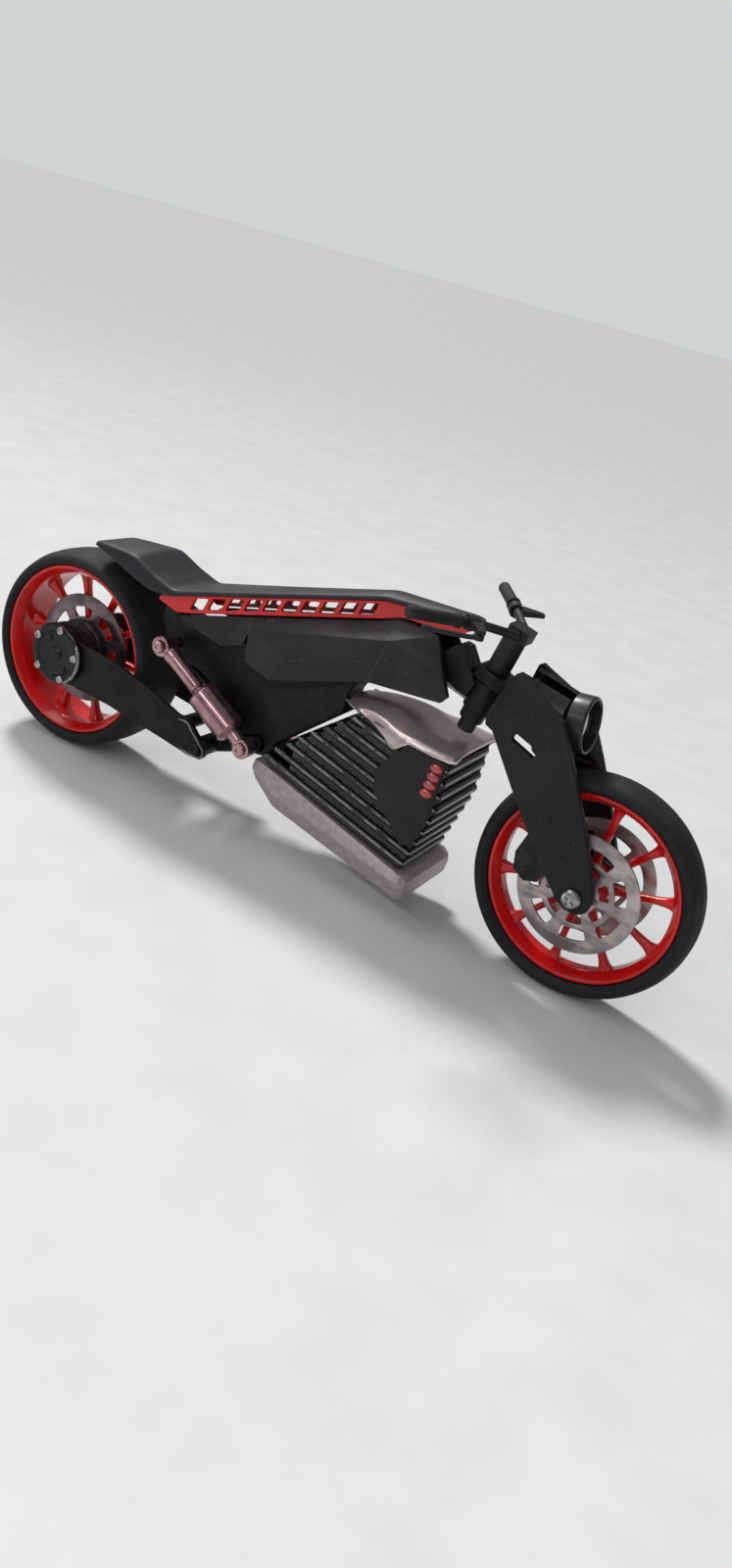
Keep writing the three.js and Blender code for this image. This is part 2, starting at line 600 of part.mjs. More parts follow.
// ------------------------------------------------------------------ seat cover
// stations: x, edge height, half width, flap depth, crown
const SEAT = [
  [3.4, 53.2, 12.7, 1.7, 0.0], [14.0, 54.3, 14.4, 4.4, 0.5], [28.5, 55.4, 16.6, 8.6, 0.9],
  [40.0, 50.9, 16.9, 7.0, 0.6], [52.0, 47.8, 16.9, 2.6, 0.3], [62.0, 51.1, 15.9, 1.9, 0.6],
  [144.8, 78.3, 7.9, 1.9, 1.2], [183.0, 81.6, 5.4, 1.9, 0.8]];
function seatCover() {
  const wall = 1.4;
  return loft(SEAT.map(([x, edge, half, flap, crown]) => {
    const flare = 0.07 * flap;
    // one skin of the cover from right to left
    const skin = (inset) => {
      const left = [[half + flare - inset, edge - flap], [half - inset, edge - inset],
        [half * 0.45, edge + crown * 0.85 - inset]];
      const right = left.map(([y, z]) => [-y, z]);
      return [...right, [0, edge + crown - inset], ...left.reverse()];
    };
    return [...skin(0), ...skin(wall).reverse()].map(([y, z]) => [x, y, z]);
  }));
}

// ------------------------------------------------------------------ trellis rails
const RAIL_HALF = 1.0;                                // half thickness
const railY = (x) => 15.0 - 0.0875 * (x - 43);        // middle of each rail from the centre plane
const RAIL_LOW = [[61.8, 40.8], [90.3, 50.3], [144.1, 68.2]];   // straight runs of each edge
const RAIL_HIGH = [[144.8, 76.1], [61.9, 48.9]];
const RAIL_OUTLINE = [[45.2, 43.4], [44.6, 41.4], [54.7, 38.8], ...RAIL_LOW, [153.5, 72.0],
  [176.6, 73.2], [181.6, 76.6], [182.0, 79.4], ...RAIL_HIGH, [52.0, 45.6]];
function trellisRail() {
  const windows = 10;
  const pitch = 8.3;
  const width = 5.6;
  const lean = 1.9;
  const [start, knee, end] = RAIL_LOW;
  const low = (x) => (x < knee[0] ? line(start, knee)(x) : line(knee, end)(x)) + 1.7;
  const high = (x) => line(...RAIL_HIGH)(x) - 1.6;
  const holes = Array.from({ length: windows }, (_, i) => {
    const a = 60.6 + i * pitch;
    const b = a + width;
    return [[a, low(a)], [b, low(b)], [b + lean, high(b + lean)], [a + lean, high(a + lean)]];
  });
  const flat = tidy(plateXZ(RAIL_OUTLINE, -RAIL_HALF, RAIL_HALF, holes));
  return shearY(flat, (x) => -railY(x));
}

// ------------------------------------------------------------------ side panels
// point on the outer face of the right-hand rail, moved sideways by offset
const onRail = (x, z, offset = 0) => [x, -(railY(x) + RAIL_HALF) + offset, z];
// corners of the three convex blocks of the right-hand panel: x, y, z
const PANEL_REAR = [
  onRail(56.6, 37.6), onRail(58, 38.7), onRail(61.8, 39.9), onRail(90.3, 49.5),
  onRail(58, 36.8, -0.6).with(0, 58.4),
  [80.7, -16.4, 33.9], [90.8, -16.2, 38.0], [92.6, -15.9, 45.4], [56.6, -12.2, 37.6],
  [61.8, -11.8, 39.9], [90.3, -9.6, 49.5], [58.4, -12.0, 36.8], [80.7, -12.0, 34.4],
  [90.8, -11.0, 38.0]];
const PANEL_MIDDLE = [
  onRail(89.6, 49.2), onRail(144.2, 67.4),
  [92.2, -15.9, 45.4], [154.8, -15.6, 64.2], [93.2, -15.6, 31.6], [106.2, -15.2, 28.2],
  [150.0, -15.0, 45.0], [89.6, -9.8, 49.2], [144.2, -7.6, 66.8], [154.8, -11.4, 64.2],
  [95.8, -9.4, 24.4], [108.0, -9.4, 23.6], [150.0, -11.4, 44.0], [152, -8.6, 68.9]];
const PANEL_FRONT = [
  onRail(144.2, 67.4), onRail(153.2, 71.2, -0.2),
  [171.0, -8.2, 71.6], [173.6, -9.0, 66.0], [154.8, -15.6, 64.2], [175.0, -13.6, 60.4],
  [150.0, -15.0, 45.0], [164.8, -15.0, 51.0], [181.6, -13.6, 48.6], [183.8, -13.4, 51.7],
  [181.0, -13.6, 56.0], [150.0, -11.4, 44.0], [165.0, -11.4, 50.0], [181.6, -11.4, 48.6],
  [183.8, -11.4, 51.7], [175, -11.4, 60.4], [153.2, -7.6, 70.6], [171.0, -7.6, 71.0]];
function sidePanel() {
  // room inside for the servo horn and the drag link
  const room = box(140, 187, -11.0, 0, 40, 61);
  return cut(join(hull(PANEL_REAR), hull(PANEL_MIDDLE), hull(PANEL_FRONT)), room);
}

// ------------------------------------------------------------------ steering head
// Pieces are in the steering frame, except that the wedge corners are in the bike's frame.
const BAR_SEAT = [1.2, 22.6];           // handlebar centre (x, z)
const ARM_Z = [-17.2, -15.4];           // steering arm and servo horn, bottom and top
const PIN_Z = [-15.6, -12.9];           // pins of the drag link
const LINK_Z = [-15.0, -13.2];          // drag link
const STEM_END = [0, ARM_LINK];         // ends of the drag link (x, y)
const SERVO_END = [SERVO_U, ARM_LINK];
const stemHole = (z0, z1) => cylZ(STEM_R + CLOSE_FIT, z0, z1, 14);

const HEAD_WEDGE = [ // x, half width, z
  [172.6, 6.0, 58.6], [172.6, 6.4, 62.8], [178.0, 6.4, 70.0], [181.0, 6.2, 69.6],
  [189.6, 5.4, 58.8], [187.6, 5.0, 52.2], [183.0, 5.6, 53.4]];
// wedge with the collar that carries the stem
function headBracket() {
  const intoSteer = new THREE.Matrix4().makeTranslation(HEAD[0], 0, HEAD[1])
    .multiply(new THREE.Matrix4().makeRotationY(radians(RAKE_DEG))).invert();
  const wedge = hull(HEAD_WEDGE.flatMap(([x, half, z]) => [[x, -half, z], [x, half, z]]));
  return cut(join(wedge.applyMatrix4(intoSteer), cylZ(5.9, -12.3, -0.5, 16)),
    cylZ(STEM_R + LOOSE_FIT, -30, -0.2, 14), cylZ(9.0, -0.2, 30, 16));
}
// journal in the collar, thicker above it, with a block that holds the handlebar
function steeringStem() {
  return cut(join(cylZ(STEM_R, -22.0, 6.2, 14), cylZ(STEM_GRIP_R, 5.6, 20.6, 16),
    box(-3.6, 5.4, -4.2, 4.2, 20.4, 25.4)), cylY(BAR_R + LOOSE_FIT, -10, 10, 10, BAR_SEAT));
}
// hub on the stem and a bar that carries the plates and the lamp
function forkCrown() {
  const [back, front, half, top] = [9.4, 13.2, 13.1, 5.2];
  const plan = symmetric([[-6.6, -4.6], [2.0, -7.4], [back, -5.2], [back, -half], [front, -half]]);
  return cut(join(plateXY(plan, 0.1, top), box(back, front, -half, half, -6.0, top)),
    stemHole(-5, 12));
}
// collar with the steering arm, which points to the left
function stemLockCollar() {
  const arm = [[-1.9, 0], [1.9, 0], [1.9, ARM_LINK], [0.9, ARM_LINK + 1.7],
    [-0.9, ARM_LINK + 1.7], [-1.9, ARM_LINK]];
  const collar = join(cylZ(5.0, ARM_Z[0], -12.7, 14), plateXY(arm, ...ARM_Z));
  return join(cut(collar, stemHole(-30, 0)), cylZ(0.8, ...PIN_Z, 8, STEM_END));
}
function steeringServo() {
  return join(box(SERVO_U - 11.5, SERVO_U + 7.0, -4.2, 4.2, -11.6, 3.4),
    cylZ(3.0, -12.4, -11.0, 10, [SERVO_U, 0]), cylZ(1.4, -14.6, -12.0, 8, [SERVO_U, 0]));
}
function servoHorn() {
  const outline = [[-3, -2.4], [3, -2.4], [3, 2.4], [1.7, ARM_LINK + 1.6],
    [-1.7, ARM_LINK + 1.6], [-3, 2.4]].map(([x, y]) => [SERVO_U + x, y]);
  const horn = join(plateXY(outline, ...ARM_Z), cylZ(3.0, -15.9, -12.8, 10, [SERVO_U, 0]));
  return join(cut(horn, cylZ(1.7, -14.9, -10, 8, [SERVO_U, 0])),
    cylZ(0.8, ...PIN_Z, 8, SERVO_END));
}
function dragLink() {
  const ends = [STEM_END, SERVO_END];
  const bar = box(SERVO_U, 0, ARM_LINK - 1.0, ARM_LINK + 1.0, ...LINK_Z);
  return cut(join(bar, ...ends.map((place) => cylZ(1.9, ...LINK_Z, 10, place))),
    ...ends.map((place) => cylZ(1.15, -20, -10, 8, place)));
}

// ------------------------------------------------------------------ handlebar, grips, levers
const BAR_CENTRE = new THREE.Vector3(BAR_SEAT[0], 0, BAR_SEAT[1])
  .applyAxisAngle(new THREE.Vector3(0, 1, 0), radians(RAKE_DEG))
  .add(new THREE.Vector3(HEAD[0], 0, HEAD[1]));
const BEND = [187.6, 20.9, 84.7];       // bend on the left (x, y, z)
const GRIP_END = [172.6, 41.6, 85.9];   // end of the bar on the left (x, y, z)
// a place given from the bend, with y counted outwards from it
const fromBend = (sign, x, y, z) => [BEND[0] + x, sign * (BEND[1] + y), BEND[2] + z];
// points of half the bar: end, outside the bend, inside the bend, near the stem
const barPoints = (sign) => [
  [GRIP_END[0], sign * GRIP_END[1], GRIP_END[2]],
  fromBend(sign, -2.2, 3.0, 0.2),
  fromBend(sign, 1.6, -2.6, -0.25),
  [BAR_CENTRE.x - 1.3, sign * 6.2, BAR_CENTRE.z + 0.35]];

function handlebar() {
  const middle = [-4.6, 4.6].map((y) => [BAR_CENTRE.x, y, BAR_CENTRE.z]);
  return tube([...barPoints(-1), ...middle, ...barPoints(1).reverse()], BAR_R, 10, 22);
}
// sleeve with a collar at its inner end and a closed outer end
function grip(sign) {
  const [end, start] = barPoints(sign);
  const length = new THREE.Vector3(...end).distanceTo(new THREE.Vector3(...start));
  const bore = BAR_R + CLOSE_FIT;
  return along(turnY([[bore, 1.6], [2.9, 1.6], [2.9, 2.8], [2.45, 3.2], [2.45, length + 1.0],
    [2.0, length + 1.7], [0, length + 1.7], [0, length + 0.35], [bore, length + 0.35]], 10),
  start, end);
}
// band round the bar and a tapering nose
function leverPerch(sign) {
  const [, outside, inside, nearStem] = barPoints(sign);
  const band = along(sleeveY(BAR_R + 0.4, 3.0, 0.2, 4.6, 10),
    fromBend(sign, 1.0, -2.2, -0.25), outside);
  const [tipX, tipY] = sign < 0 ? [195.4, -27.4] : [196.8, 28.2];
  // x, y, bottom, top of each upright edge
  const edges = [
    [BEND[0] + 1.9, sign * (BEND[1] - 4.0), 83.0, 86.0],
    [BEND[0] + 1.4, sign * (BEND[1] + 3.0), 83.2, 86.2],
    [tipX - 1.4, tipY + sign * 1.3, 83.6, 85.2],
    [tipX + 0.8, tipY - sign * 0.9, 83.6, 85.2]];
  const nose = hull(edges.flatMap(([x, y, low, high]) => [[x, y, low], [x, y, high]]));
  const path = [fromBend(sign, -9, 12, 0.8), outside, inside, nearStem];
  return cut(join(band, nose), tube(path, BAR_R + LOOSE_FIT, 10, 12));
}
// right-hand lever blade, pivoting under the nose of the perch
function brakeLever() {
  const [x, y] = [193.9, -27.0];
  return join(
    cylZ(2.2, 81.4, 83.2, 10, [x, y]),
    tube([[x, y, 82.3], [x - 2.6, y - 4.0, 82.3], [178.2, -42.6, 82.5]], 0.95, 6, 8),
    new THREE.SphereGeometry(1.35, 7, 5).translate(178.0, -42.7, 82.5));
}

// ------------------------------------------------------------------ fork plates, axle, calipers
const FORK_OUTLINE = [ // x, z
  [206.9, 70.7], [208.5, 71.9], [211.1, 70.6], [230.9, 61.8], [241.9, 44.1], [252.1, 26.4],
  [261.0, 8.6], [263.4, 1.6], [262.8, -3.2], [259.4, -5.8], [254.1, -5.6], [249.6, -3.0],
  [246.7, 0.4], [240.0, 6.5], [230.3, 18.0], [220.2, 30.0], [205.9, 48.0], [202.6, 49.2],
  [201.7, 52.2]];
const FORK_SLOT = [[214.6, 48.4], [215.4, 50.0], [224.2, 47.3], [224.9, 46.2], [224.2, 45.2]];
const CALIPER_OUTLINE = [[229.8, -1.0], [228.6, 6.0], [231.0, 14.6], [238.6, 18.4],
  [244.6, 13.0], [242.4, 4.0], [240.4, -2.0], [235.0, -4.0]];

// right-hand plate; above LEAN_Z it leans in towards the centre plane
function forkPlate() {
  const flat = plateXZ(FORK_OUTLINE, -FORK_OUT, -FORK_IN,
    [FORK_SLOT, ring(AXLE_R + CLOSE_FIT, 16, FRONT_AXLE)]);
  const low = overlap(flat, box(190, 280, -30, 0, -20, LEAN_Z));
  const high = overlap(flat, box(190, 280, -30, 0, LEAN_Z, 90)).warp((point) => {
    point[1] += LEAN * (point[2] - LEAN_Z);
  });
  return join(low, high);
}
// head on the right, with a cross recess
function frontAxleScrew() {
  const [x, z] = FRONT_AXLE;
  const head = turnY([[0, -16.8], [4.0, -16.8], [4.0, -17.9], [3.3, -18.9], [2.0, -19.4],
    [0, -19.5]], 14).translate(x, 0, z);
  const recess = [[2.2, 0.5], [0.5, 2.2]].map(([halfX, halfZ]) =>
    box(-halfX, halfX, -20.2, -18.3, -halfZ, halfZ).rotateY(0.35).translate(x, 0, z));
  return cut(join(cylY(AXLE_R, -17.4, 20.8, 10, FRONT_AXLE), head), ...recess);
}
function frontAxleNut() {
  return cut(cylY(3.9, FORK_OUT + GAP, FORK_OUT + 3.4, 6, FRONT_AXLE),
    cylY(AXLE_R + 0.3, 10, 24, 10, FRONT_AXLE));
}
// right-hand caliper, slotted for the disc
function brakeCaliper() {
  return cut(plateXZ(CALIPER_OUTLINE, -13.15, -7.7),
    cylY(25.2, -DISC_Y_FRONT - 1.0, -DISC_Y_FRONT + 1.0, 24, FRONT_AXLE));
}

// ------------------------------------------------------------------ headlamp
const LAMP_TILT = radians(8.7);
const LAMP_FACE = [237.2, 0, 59.5];     // middle of the front face (x, y, z)
// a turned piece on the lamp axis; y = 0 lies at the face, larger is forward
function onLampAxis(profile, sides) {
  const [x, y, z] = LAMP_FACE;
  return along(turnY(profile, sides), LAMP_FACE,
    [x + Math.cos(LAMP_TILT), y, z + Math.sin(LAMP_TILT)]);
}
function headlampRing() {
  return onLampAxis([[11.2, -0.6], [10.7, 0], [10.0, 0], [9.6, -0.6], [9.6, -7.5],
    [10.6, -7.5], [11.2, -6.9]], 20);
}
function headlampLens() {
  return onLampAxis([[0, -4.6], [9.2, -4.6], [9.2, -3.4], [5.5, -2.7], [0, -2.4]], 16);
}
// stations of the shell: x, centre height, outer radius
const SHELL = [[208.6, 60.2, 12.9], [215.0, 59.6, 12.6], [227.9, 58.5, 11.3]];
// corners of the left cheek: x, y, z
const CHEEK = [
  [219.0, 12.6, 61.0], [227.6, 12.6, 60.0], [228.4, 10.8, 58.6], [219.0, 11.0, 50.0],
  [222.0, 13.2, 46.0], [230.0, 13.2, 56.5], [237.0, 13.2, 51.8], [236.4, 11.0, 50.6],
  [234.6, 8.6, 49.6], [241.4, 13.2, 44.4], [240.4, 11.2, 43.8], [238.2, 9.0, 45.8],
  [243.2, 13.2, 41.0], [242.4, 11.6, 40.6], [232.0, 9.2, 47.0], [231.0, 13.2, 41.0],
  [231.0, 11.6, 41.5]];
// open-topped shell behind the lamp
function headlampShell() {
  const wall = 1.5;
  const openArc = (r) => arc([0, 0], r, 125, 415, 14);
  const shell = loft(SHELL.map(([x, centre, r]) =>
    [...openArc(r), ...openArc(r - wall).reverse()].map(([y, z]) => [x, y, centre + z])));
  // back wall that bolts to the crown
  const disc = cylY(12.2, -0.9, 0.9, 28).rotateZ(Math.PI / 2).translate(209.5, 0, 60.2);
  const backWall = overlap(disc, box(200, 220, -20, 20, 40, 66));
  // cheeks that follow the front edge of each fork plate below the lamp
  const lampRoom = onLampAxis([[0, -8.0], [11.6, -8.0], [11.6, 4.0], [0, 4.0]], 24);
  const cheeks = [-1, 1].map((sign) =>
    cut(hull(CHEEK.map(([x, y, z]) => [x, sign * y, z])), lampRoom));
  return join(shell, backWall, ...cheeks);
}

// ------------------------------------------------------------------ assembly
put('front_tyre', frontTyre(), 'tyre', frontWheel);
put('front_rim', rim(FRONT_RIM), 'rim', frontWheel);
putMirrored('front_bearing', frontBearing(), 'steel', frontWheel);
putSides('front_brake_disc', (sign) => brakeDisc(DISC_R_FRONT, 5.2, sign * DISC_Y_FRONT, 25),
  'disc', frontWheel);

put('rear_tyre', rearTyre(), 'tyre', rearWheel);
put('rear_rim', rim(REAR_RIM), 'rim', rearWheel);
put('rear_brake_disc', brakeDisc(DISC_R_REAR, 5.6, DISC_Y_REAR, 50), 'disc', rearWheel);
put('motor_can', motorCan(), 'frame', rearWheel);
put('rear_bearing_right', rearBearing(-4.2, -1.2), 'steel', rearWheel);
put('rear_bearing_left', rearBearing(14.4, 17.9), 'steel', rearWheel);

put('motor_stator', motorStator(), 'steel');
put('rear_axle', rearAxle(), 'steel');
put('motor_cover', motorCover(), 'frame');
put('swingarm', swingarm(), 'plate');
put('swingarm_pivot_pin', headedPin(PIVOT, PIVOT_PIN), 'screw');
putSides('shock_rod', shockRod, 'shock');
putSides('shock_cylinder', shockCylinder, 'shock');
put('shock_upper_pin', headedPin(SHOCK_TOP, UPPER_SHOCK_PIN), 'screw');
put('shock_lower_pin', headedPin(SHOCK_LOW, LOWER_SHOCK_PIN), 'screw');

put('frame_spine', frameSpine(), 'frame');
put('battery_case', batteryCase(), 'case');
put('battery_pack', batteryPack(), 'battery');
put('receiver_and_speed_control', electronics(), 'board');
putMirrored('side_plate', sidePlate(), 'frame');
putMirrored('indicator', indicator(), 'red');
put('case_top_cover', caseTopCover(), 'lid');
put('belly_pan', bellyPan(), 'pan');
put('seat_cover', seatCover(), 'cover');
putMirrored('trellis_rail', trellisRail(), 'rim');
putMirrored('side_panel', sidePanel(), 'plate');

put('head_bracket', headBracket(), 'frame', steer);
put('steering_stem', steeringStem(), 'frame', steer);
put('fork_crown', forkCrown(), 'frame', steer);
put('stem_lock_collar', stemLockCollar(), 'plate', steer);
put('steering_servo', steeringServo(), 'servo', steer);
put('servo_horn', servoHorn(), 'horn', steer);
put('drag_link', dragLink(), 'steel', steer);

put('handlebar', handlebar(), 'frame');
putSides('grip', grip, 'rubber');
putSides('lever_perch', leverPerch, 'frame');
put('brake_lever', brakeLever(), 'rubber');
putMirrored('fork_plate', forkPlate(), 'plate');
put('front_axle_screw', frontAxleScrew(), 'screw');
put('front_axle_nut', frontAxleNut(), 'screw');
putMirrored('brake_caliper', brakeCaliper(), 'frame');
put('headlamp_ring', headlampRing(), 'lamp');
put('headlamp_lens', headlampLens(), 'lens');
put('headlamp_shell', headlampShell(), 'lamp');

// origin: ground point under the middle of the box
bike.updateMatrixWorld(true);
const bounds = new THREE.Box3().setFromObject(bike);
const middle = bounds.getCenter(new THREE.Vector3());
bike.position.set(-middle.x, -middle.y, -bounds.min.z);

export default model;
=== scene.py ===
import json
import math
import bpy
import bmesh
from mathutils import Vector, Matrix, noise
from mathutils.geometry import tessellate_polygon

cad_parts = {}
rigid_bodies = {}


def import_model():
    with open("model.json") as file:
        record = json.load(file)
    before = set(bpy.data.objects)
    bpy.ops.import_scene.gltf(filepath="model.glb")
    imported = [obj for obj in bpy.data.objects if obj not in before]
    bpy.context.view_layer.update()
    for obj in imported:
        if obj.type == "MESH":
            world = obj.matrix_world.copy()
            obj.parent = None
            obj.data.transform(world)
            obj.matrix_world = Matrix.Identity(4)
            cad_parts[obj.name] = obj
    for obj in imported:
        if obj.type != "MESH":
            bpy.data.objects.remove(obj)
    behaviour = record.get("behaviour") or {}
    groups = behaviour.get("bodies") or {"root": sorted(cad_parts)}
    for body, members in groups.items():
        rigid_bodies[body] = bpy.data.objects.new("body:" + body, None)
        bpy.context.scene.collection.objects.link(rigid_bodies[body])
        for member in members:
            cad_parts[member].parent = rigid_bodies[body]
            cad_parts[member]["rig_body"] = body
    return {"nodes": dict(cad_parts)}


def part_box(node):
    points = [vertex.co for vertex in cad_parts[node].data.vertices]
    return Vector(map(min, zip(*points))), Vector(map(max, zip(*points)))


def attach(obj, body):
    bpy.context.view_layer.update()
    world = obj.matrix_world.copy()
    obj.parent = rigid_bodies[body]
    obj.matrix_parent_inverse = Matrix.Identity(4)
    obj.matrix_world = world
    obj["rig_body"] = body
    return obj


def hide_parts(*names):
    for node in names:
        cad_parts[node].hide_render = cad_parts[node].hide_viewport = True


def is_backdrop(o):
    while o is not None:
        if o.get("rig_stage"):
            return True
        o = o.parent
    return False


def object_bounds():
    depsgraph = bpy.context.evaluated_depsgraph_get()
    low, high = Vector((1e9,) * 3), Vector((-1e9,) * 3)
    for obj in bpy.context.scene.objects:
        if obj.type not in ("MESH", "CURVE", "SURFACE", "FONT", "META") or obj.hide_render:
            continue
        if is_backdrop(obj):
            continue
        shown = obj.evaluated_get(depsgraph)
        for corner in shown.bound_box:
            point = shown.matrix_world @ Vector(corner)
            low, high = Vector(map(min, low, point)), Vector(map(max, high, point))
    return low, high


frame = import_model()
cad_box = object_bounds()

for _n in ("Cube", "Camera", "Light"):
    if _n in bpy.data.objects and _n not in frame["nodes"]:
        bpy.data.objects.remove(bpy.data.objects[_n], do_unlink=True)
NODES = frame["nodes"]
MM = 0.001
_lo, _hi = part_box("rear_tyre")
REAR = Vector([(_lo[i] + _hi[i]) / 2 for i in range(3)])      # rear axle centre, metres


def P(x, y, z):
    """Millimetres from the rear axle centre to metres in the part's frame."""
    return REAR + Vector((x, y, z)) * MM


def place(origin, ex, ey, ez):
    """Matrix from local millimetres to the part's frame."""
    m = Matrix.Identity(4)
    for i, c in enumerate((ex, ey, ez)):
        for j in range(3):
            m[j][i] = c[j] * MM
    o = P(*origin)
    for j in range(3):
        m[j][3] = o[j]
    return m


def axis_y(x, y, z):
    return place((x, y, z), (1, 0, 0), (0, 0, -1), (0, 1, 0))


def axis_to(a, b):
    d = (Vector(b) - Vector(a)).normalized()
    ex = d.orthogonal().normalized() if abs(d.y) > 0.9 else Vector((0, 1, 0)).cross(d).normalized()
    ey = d.cross(ex).normalized()
    return place(a, ex, ey, d)


FLAT = place((0, 0, 0), (1, 0, 0), (0, 0, 1), (0, -1, 0))     # local x -> X, y -> Z, z -> -Y
HEAD = (194.0, 0.0, 60.0)
RAKE = math.radians(12)
STEER = place(HEAD, (math.cos(RAKE), 0, -math.sin(RAKE)), (0, 1, 0), (math.sin(RAKE), 0, math.cos(RAKE)))
WB = 255.9

# ------------------------------------------------------------------ materials


def srgb(r, g, b):
    def f(c):
        c /= 255.0
        return c / 12.92 if c <= 0.04045 else ((c + 0.055) / 1.055) ** 2.4
    return (f(r), f(g), f(b), 1.0)


class Nodes:
    def __init__(self, name):
        self.mat = bpy.data.materials.new(name)
        self.mat.use_nodes = True
        self.t = self.mat.node_tree
        self.t.nodes.clear()
        self.out = self.t.nodes.new("ShaderNodeOutputMaterial")
        self.bsdf = self.t.nodes.new("ShaderNodeBsdfPrincipled")
        self.t.links.new(self.bsdf.outputs[0], self.out.inputs[0])
        self.coord = self.t.nodes.new("ShaderNodeTexCoord").outputs["Object"]

    def link(self, a, b):
        self.t.links.new(a, b)

    def node(self, kind, **kw):
        n = self.t.nodes.new(kind)
        for k, v in kw.items():
            setattr(n, k, v)
        return n

    def stretch(self, s, rot=(0, 0, 0)):
        m = self.node("ShaderNodeMapping")
        m.inputs["Scale"].default_value = s
        m.inputs["Rotation"].default_value = rot
        self.link(self.coord, m.inputs["Vector"])
        return m.outputs[0]

    def noise(self, scale, detail=4.0, rough=0.55, vec=None, distort=0.0):
        n = self.node("ShaderNodeTexNoise")
        n.inputs["Scale"].default_value = scale
        n.inputs["Detail"].default_value = detail
        n.inputs["Roughness"].default_value = rough
        n.inputs["Distortion"].default_value = distort
        self.link(vec or self.coord, n.inputs["Vector"])
        return n.outputs[0]

    def ramp(self, fac, a, b):
        """Smooth step of fac from a to b, 0..1."""
        m = self.node("ShaderNodeMapRange", interpolation_type="SMOOTHSTEP")
        m.inputs["From Min"].default_value = a
        m.inputs["From Max"].default_value = b
        self.link(fac, m.inputs["Value"])
        return m.outputs[0]

    def span(self, fac, a, b, lo=0.3, hi=0.7):
        m = self.node("ShaderNodeMapRange")
        m.inputs["From Min"].default_value = lo
        m.inputs["From Max"].default_value = hi
        m.inputs["To Min"].default_value = a
        m.inputs["To Max"].default_value = b
        self.link(fac, m.inputs["Value"])
        return m.outputs[0]

    def math(self, op, a, b=None):
        m = self.node("ShaderNodeMath", operation=op)
        for i, v in enumerate((a, b)):
            if v is None:
                continue
            if isinstance(v, (int, float)):
                m.inputs[i].default_value = v
            else:
                self.link(v, m.inputs[i])
        return m.outputs[0]

    def mix(self, fac, a, b):
        m = self.node("ShaderNodeMix", data_type="RGBA")
        if isinstance(fac, (int, float)):
            m.inputs[0].default_value = fac
        else:
            self.link(fac, m.inputs[0])
        for i, v in ((6, a), (7, b)):
            if isinstance(v, tuple):
                m.inputs[i].default_value = v
            else:
                self.link(v, m.inputs[i])
        return m.outputs[2]

    def bump(self, height, strength, dist, normal=None):
        b = self.node("ShaderNodeBump")
        b.inputs["Strength"].default_value = strength
        b.inputs["Distance"].default_value = dist
        self.link(height, b.inputs["Height"])
        if normal is not None:
            self.link(normal, b.inputs["Normal"])
        return b.outputs[0]

    def edges(self, radius=0.0005):
        """0 on flat areas, 1 along corners, from how far the rounded normal leans from the true one."""
        b = self.node("ShaderNodeBevel", samples=4)
        b.inputs["Radius"].default_value = radius
        g = self.node("ShaderNodeNewGeometry")
        d = self.node("ShaderNodeVectorMath", operation="DOT_PRODUCT")
        self.link(b.outputs[0], d.inputs[0])
        self.link(g.outputs["Normal"], d.inputs[1])
        return self.ramp(self.math("SUBTRACT", 1.0, d.outputs["Value"]), 0.015, 0.14)

    def set(self, **kw):
        names = {"color": "Base Color", "rough": "Roughness", "metal": "Metallic", "normal": "Normal", "coat": "Coat Weight",
                 "coat_rough": "Coat Roughness", "spec": "Specular IOR Level", "trans": "Transmission Weight", "ior": "IOR",
                 "sheen": "Sheen Weight", "aniso": "Anisotropic", "emit": "Emission Color", "emit_s": "Emission Strength"}
        for k, v in kw.items():
            s = self.bsdf.inputs[names[k]]
            if isinstance(v, (int, float, tuple)):
                s.default_value = v
            else:
                self.link(v, s)
        return self.mat


